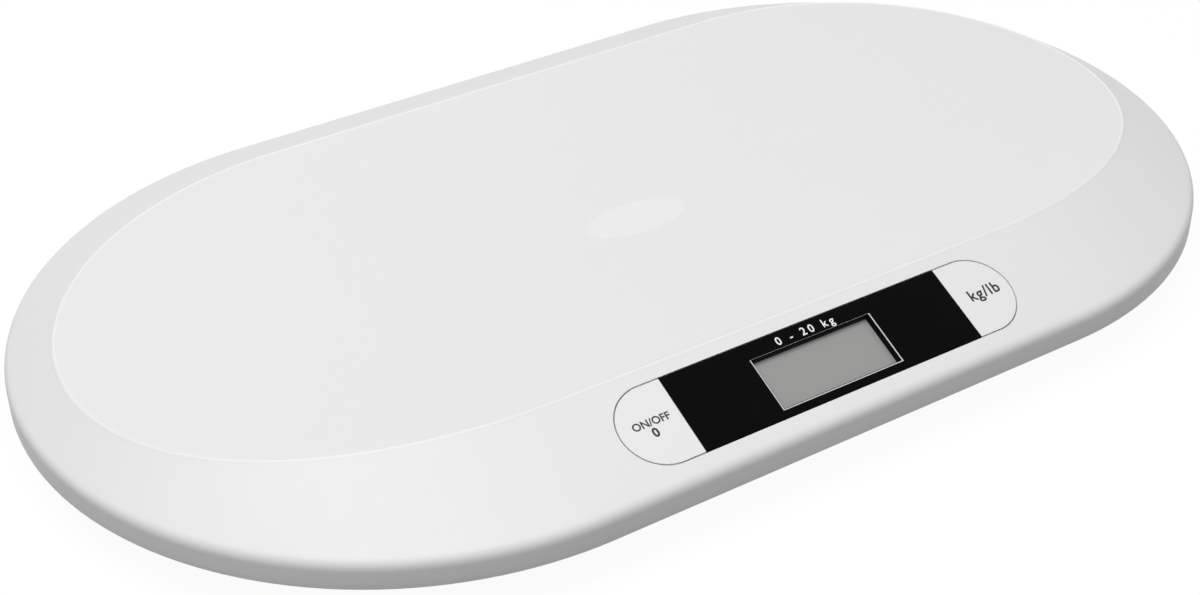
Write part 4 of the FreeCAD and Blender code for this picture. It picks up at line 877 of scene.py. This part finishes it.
def screw_tree():
    """Pan-head screws with a cross recess on the piece's points, turned by tilt."""
    sizes = ("head", "dome", "shank", "length", "cross", "tilt")
    tree, inputs = new_tree("pan head screws", sizes)
    at = {size: inputs[size] for size in sizes}
    for result, operation, first, second in (
            ("flatness", "DIVIDE", "dome", "head"), ("straight", "SUBTRACT", "length", "shank"),
            ("half_straight", "MULTIPLY", "straight", 0.5), ("tip_radius", "MULTIPLY", "shank", 0.35),
            ("bar_length", "MULTIPLY", "head", 1.25), ("bar_place", "MULTIPLY", "dome", -1.05)):
        at[result] = add(tree, "ShaderNodeMath", {0: at[first], 1: at.get(second, second)},
                         operation=operation).outputs["Value"]
    bars = [add(tree, "ShaderNodeCombineXYZ", {0: x, 1: y, 2: at["dome"]}).outputs["Vector"]
            for x, y in ((at["bar_length"], at["cross"]), (at["cross"], at["bar_length"]))]
    # the dome is half of a flattened ball; a lid larger than any screw cuts the other half away
    lid = 20 * MM
    solids = {}
    for name, kind, measures, change, (x, y, z) in (
            ("ball", "UVSphere", {"Segments": 32, "Rings": 16, "Radius": at["head"]},
             "Scale", (1.0, 1.0, at["flatness"])),
            ("lid", "Cube", {"Size": (lid, lid, lid)}, "Translation", (0.0, 0.0, lid / 2)),
            ("bar", "Cube", {"Size": bars[0]}, "Translation", (0.0, 0.0, at["bar_place"])),
            ("cross_bar", "Cube", {"Size": bars[1]}, "Translation", (0.0, 0.0, at["bar_place"])),
            ("shank", "Cylinder", {"Vertices": 24, "Radius": at["shank"], "Depth": at["straight"]},
             "Translation", (0.0, 0.0, at["half_straight"])),
            ("tip", "Cone", {"Vertices": 24, "Radius Top": at["tip_radius"], "Radius Bottom": at["shank"],
                             "Depth": at["shank"]}, "Translation", (0.0, 0.0, at["straight"]))):
        shape = add(tree, "GeometryNodeMesh" + kind, measures)
        by = add(tree, "ShaderNodeCombineXYZ", {0: x, 1: y, 2: z})
        solids[name] = add(tree, "GeometryNodeTransform", {"Geometry": shape.outputs["Mesh"],
                                                           change: by.outputs["Vector"]})
    head = add(tree, "GeometryNodeMeshBoolean", {"Mesh 1": solids["ball"].outputs["Geometry"]},
               operation="DIFFERENCE", solver="EXACT")
    whole = add(tree, "GeometryNodeMeshBoolean", operation="UNION", solver="EXACT")
    for target, parts in ((head, ("lid", "bar", "cross_bar")), (whole, ("tip", "shank"))):
        for part in parts:
            tree.links.new(solids[part].outputs["Geometry"], target.inputs["Mesh 2"])
    tree.links.new(head.outputs["Mesh"], whole.inputs["Mesh 2"])
    copies = add(tree, "GeometryNodeInstanceOnPoints", {"Points": inputs["Geometry"],
                                                        "Instance": whole.outputs["Mesh"],
                                                        "Rotation": inputs["tilt"]})
    close_tree(tree, copies.outputs["Instances"], inputs["finish"])
    return tree


class SCALE_OT_screws(bpy.types.Operator):
    """Make the case screws, the holders' screws and the board's screws"""
    bl_idname = "baby_scale.screws"
    bl_label = "Screws"

    def execute(self, context):
        sizes = context.scene.scale_screws
        tree = screw_tree()
        case = (sizes.case_head, sizes.case_dome, sizes.case_shank)
        small = (sizes.small_head, sizes.small_dome, sizes.small_shank)
        upright, slope = Matrix.Identity(3), panel_matrix().to_3x3()
        for node, (head, dome, shank), under, turn in (
                ("case_screws", case, sizes.case_length, upright),
                ("holder_screws", small, sizes.small_length, upright),
                ("board_screws", small, sizes.board_length, slope)):
            # a solid's middle lies between the top of its dome and the tip of its shank
            offset = turn @ Vector((0.0, 0.0, (under - dome) / 2))
            mesh = bpy.data.meshes.new(node + "_places")
            mesh.from_pydata([centre - offset for centre in centres_of(node)], [], [])
            piece = new_object(node + "_dressed", mesh)
            grow(piece, tree, head=head, dome=dome, shank=shank, length=under, cross=sizes.cross,
                 tilt=turn.to_euler(), finish=MATERIALS["steel"])
            soften(piece.data, 35.0)
            settle(piece, "casing", "steel", node)
        return {"FINISHED"}


# ---- panel ----

def legend(name, text, size, x, y, slot, body, weight, spacing=1.0):
    """Lettering that lies on the panel, centred at x and y in millimetres on its plane."""
    curve = bpy.data.curves.new(name, "FONT")
    curve.body = text
    curve.size = size * MM
    curve.align_x = "CENTER"
    curve.align_y = "CENTER"
    curve.offset = weight * MM
    curve.space_character = spacing
    curve.extrude = PRINT_HEIGHT / 2
    curve.resolution_u = 6
    source = new_object(name + "_curve", curve)
    mesh = evaluated_mesh(source)
    bpy.data.objects.remove(source)
    bpy.data.curves.remove(curve)
    place = Matrix.Translation((x * MM, y * MM, PRINT_HEIGHT / 2 + PRINT_GAP))
    mesh.transform(panel_matrix() @ place)
    piece = new_object(name, mesh)
    soften(piece.data, 30.0)
    paint(piece, slot)
    settle(piece, body, SLOT_OF["power_button"] if slot == "legend" else SLOT_OF["display_bezel"])


class SCALE_OT_keys(bpy.types.Operator):
    """Make the two keys with their legends, switches and plungers"""
    bl_idname = "baby_scale.keys"
    bl_label = "Keys"

    def execute(self, context):
        for key in ("power", "unit"):
            dress(key + "_button", 0.15, 3, fit=inside_opening)
        legend("power_legend", "ON/OFF", 4.6, -80.3, 1.9, "legend", "power_key", 0.11)
        legend("zero_legend", "0", 5.4, -81.0, -2.8, "legend", "power_key", 0.2)
        legend("unit_legend", "kg/lb", 7.2, 82.0, 0.2, "legend", "unit_key", 0.15, spacing=1.14)
        for key in ("power", "unit"):
            dress(key + "_switch", 0.1)
            dress(key + "_plunger", 0.1)
        return {"FINISHED"}


class SCALE_OT_display(bpy.types.Operator):
    """Make the black band, the display behind its window and the figures above it"""
    bl_idname = "baby_scale.display"
    bl_label = "Display"

    def execute(self, context):
        dress("display_bezel", 0.12, fit=inside_opening)
        legend("range_figures", "0 - 20 kg", 5.1, -0.5, 13.4, "figures", "casing", 0.07, spacing=1.5)
        self.window_edge(context.scene.scale_panel)
        for node in ("lcd_front_glass", "lcd_rear_glass"):
            dress(node, 0.08)
        for node in ("lcd_holder", "zebra_strips"):
            paint(frame["nodes"][node], SLOT_OF[node])
        return {"FINISHED"}

    @staticmethod
    def window_edge(panel):
        """The window's acrylic edge, painted pale as a highlight: a closed ring that stands a hair proud,
        thinnest at the rear.
        """
        # the ring's width on each side, then how far it stands out, lies under and reaches down
        left, right, low, high = 0.42 * MM, 0.5 * MM, 0.4 * MM, 0.06 * MM
        proud, tuck, deep = 0.05 * MM, 0.02 * MM, 0.4 * MM
        half, tall, middle = panel.window_length / 2, panel.window_width / 2, panel.window_place
        inner = (-half, half, middle - tall, middle + tall)
        outer = (-half - left, half + right, middle - tall - low, middle + tall + high)
        work = bmesh.new()
        rings = []
        for (x0, x1, y0, y1), shift, z in ((outer, 0.0, -tuck), (outer, tuck, proud), (inner, 0.0, proud),
                                           (inner, tuck, 0.0), (inner, tuck, -deep), (inner, -tuck, -deep)):
            corners = ((x0 + shift, y0 + shift), (x1 - shift, y0 + shift),
                       (x1 - shift, y1 - shift), (x0 + shift, y1 - shift))
            rings.append([work.verts.new((x, y, z)) for x, y in corners])
        for ring, after in zip(rings, rings[1:] + rings[:1]):
            skin(work, ring, after)
        piece = on_panel(work, "window_edge")
        # the ring's pale colour is a painted highlight of the bevel, not the acrylic's own colour
        paint(piece, "window_edge")
        settle(piece, "casing", "black_band")


class SCALE_OT_inside(bpy.types.Operator):
    """Finish what lies inside the casing: board, battery well and leads"""
    bl_idname = "baby_scale.inside"
    bl_label = "Inside"

    def execute(self, context):
        for node, bevel, segments in (("circuit_board", 0.05, 2), ("chip_blob", 0.4, 4),
                                      ("capacitors", 0.4, 3), ("batteries", 0.4, 3),
                                      ("plate_contacts", 0.05, 2), ("spring_contacts", 0.05, 2)):
            dress(node, bevel, segments)
        leads = ["cell_lead_" + corner for corner in CORNERS]
        for lead in (*leads, "battery_lead_left", "battery_lead_right"):
            dress(lead, 0.0)
        return {"FINISHED"}


# ---- stage ----

def seen(tree):
    """1 for rays that see the background: camera, glossy and transmission rays."""
    rays = add(tree, "ShaderNodeLightPath").outputs
    share = rays["Is Camera Ray"]
    for other in ("Is Glossy Ray", "Is Transmission Ray"):
        share = add(tree, "ShaderNodeMath", {0: share, 1: rays[other]}, operation="MAXIMUM").outputs["Value"]
    return share


class SCALE_OT_stage(bpy.types.Operator):
    """Make the floor, the lamp, the world and the camera"""
    bl_idname = "baby_scale.stage"
    bl_label = "Stage"

    def execute(self, context):
        scene, stage = context.scene, context.scene.scale_stage
        mesh = bpy.data.meshes.new("floor")
        far = 6.0  # metres from the middle to the floor's edges
        mesh.from_pydata([(-far, -far, 0), (far, -far, 0), (far, far, 0), (-far, far, 0)], [], [(0, 1, 2, 3)])
        floor = new_object("floor", mesh)
        material = bpy.data.materials.new("paper_floor")
        tree = empty_tree(material)
        # paper: it glows white to the camera, and the lamp adds the last of its tone, so that it keeps
        # the shadow; other rays, and a camera below it, pass through to the room's even light
        shaded = add(tree, "ShaderNodeBsdfDiffuse", {"Color": rgba([stage.paper] * 3)})
        glow = add(tree, "ShaderNodeEmission", {"Color": WHITE, "Strength": stage.glow})
        shown = add(tree, "ShaderNodeAddShader", {0: shaded.outputs["BSDF"], 1: glow.outputs["Emission"]})
        below = add(tree, "ShaderNodeNewGeometry").outputs["Backfacing"]
        above = add(tree, "ShaderNodeMath", {0: 1.0, 1: below}, operation="SUBTRACT")
        share = add(tree, "ShaderNodeMath", {0: seen(tree), 1: above.outputs["Value"]},
                    operation="MULTIPLY").outputs["Value"]
        clear = add(tree, "ShaderNodeBsdfTransparent")
        paper = add(tree, "ShaderNodeMixShader", {0: share, 1: clear.outputs["BSDF"],
                                                  2: shown.outputs["Shader"]})
        add(tree, "ShaderNodeOutputMaterial", {"Surface": paper.outputs["Shader"]})
        mesh.materials.append(material)

        world = bpy.data.worlds.new("studio")
        scene.world = world
        tree = empty_tree(world)
        room = add(tree, "ShaderNodeBackground", {"Color": WHITE, "Strength": stage.room})
        white = add(tree, "ShaderNodeBackground", {"Color": WHITE, "Strength": 1.0})
        mixed = add(tree, "ShaderNodeMixShader", {0: seen(tree), 1: room.outputs["Background"],
                                                  2: white.outputs["Background"]})
        add(tree, "ShaderNodeOutputWorld", {"Surface": mixed.outputs["Shader"]})

        lamp = bpy.data.lights.new("key_softbox", "AREA")
        lamp.shape = "RECTANGLE"
        lamp.size, lamp.size_y = stage.lamp_width, stage.lamp_height
        lamp.energy = stage.lamp_power
        lamp_place = Vector((stage.lamp_x, stage.lamp_y, stage.lamp_z))
        aim = (-lamp_place).to_track_quat("-Z", "Y").to_matrix().to_4x4()
        new_object("key_softbox", lamp).matrix_world = Matrix.Translation(lamp_place) @ aim

        camera = bpy.data.cameras.new("camera")
        camera.sensor_fit = "HORIZONTAL"
        camera.sensor_width = 36.0
        camera.lens = stage.focal
        camera.clip_start, camera.clip_end = 0.01, 50.0
        camera_object = new_object("camera", camera)
        back = Vector((math.sin(stage.turn) * math.cos(stage.lift),
                       -math.cos(stage.turn) * math.cos(stage.lift), math.sin(stage.lift)))
        target = Vector((stage.target_x, stage.target_y, stage.target_z))
        right = (-back).cross(Vector((0.0, 0.0, 1.0))).normalized()
        up = right.cross(-back)
        c, s = math.cos(stage.roll), math.sin(stage.roll)
        turn = Matrix((c * right + s * up, c * up - s * right, back)).transposed()
        camera_object.matrix_world = Matrix.Translation(target + back * stage.distance) @ turn.to_4x4()
        scene.camera = camera_object
        scene.view_settings.view_transform = "Standard"
        return {"FINISHED"}


class SCALE_PT_panel(bpy.types.Panel):
    """Lists the scale's pieces and the sizes behind them"""
    bl_idname = "SCALE_PT_panel"
    bl_label = "Baby scale"
    bl_space_type = "VIEW_3D"
    bl_region_type = "UI"
    bl_category = "Baby scale"

    def draw(self, context):
        column = self.layout.column(align=True)
        for operator in OPERATORS:
            column.operator(operator.bl_idname)
        for name, title, kind in GROUPS:
            box = self.layout.box()
            box.label(text=title)
            for size in kind.__annotations__:
                box.prop(getattr(context.scene, name), size)


OPERATORS = (SCALE_OT_platform, SCALE_OT_base, SCALE_OT_feet, SCALE_OT_screws, SCALE_OT_keys,
             SCALE_OT_display, SCALE_OT_inside, SCALE_OT_stage)
GROUPS = (("scale_casing", "Casing", CasingSizes), ("scale_panel", "Panel", PanelSizes),
          ("scale_screws", "Screws", ScrewSizes), ("scale_finishes", "Finishes", Finishes),
          ("scale_stage", "Stage", StageSettings))
CLASSES = tuple(kind for name, title, kind in GROUPS) + OPERATORS + (SCALE_PT_panel,)


def register():
    for kind in CLASSES:
        bpy.utils.register_class(kind)
    for name, title, kind in GROUPS:
        setattr(bpy.types.Scene, name, bpy.props.PointerProperty(type=kind))


def unregister():
    for name, title, kind in reversed(GROUPS):
        delattr(bpy.types.Scene, name)
    for kind in reversed(CLASSES):
        bpy.utils.unregister_class(kind)


def main():
    register()
    MATERIALS.update(make_materials())
    for operator in OPERATORS:
        family, name = operator.bl_idname.split(".")
        result = getattr(getattr(bpy.ops, family), name)()
        if result != {"FINISHED"}:
            raise RuntimeError(f"{operator.bl_label} didn't finish: {result}")


if __name__ == "__main__":
    main()
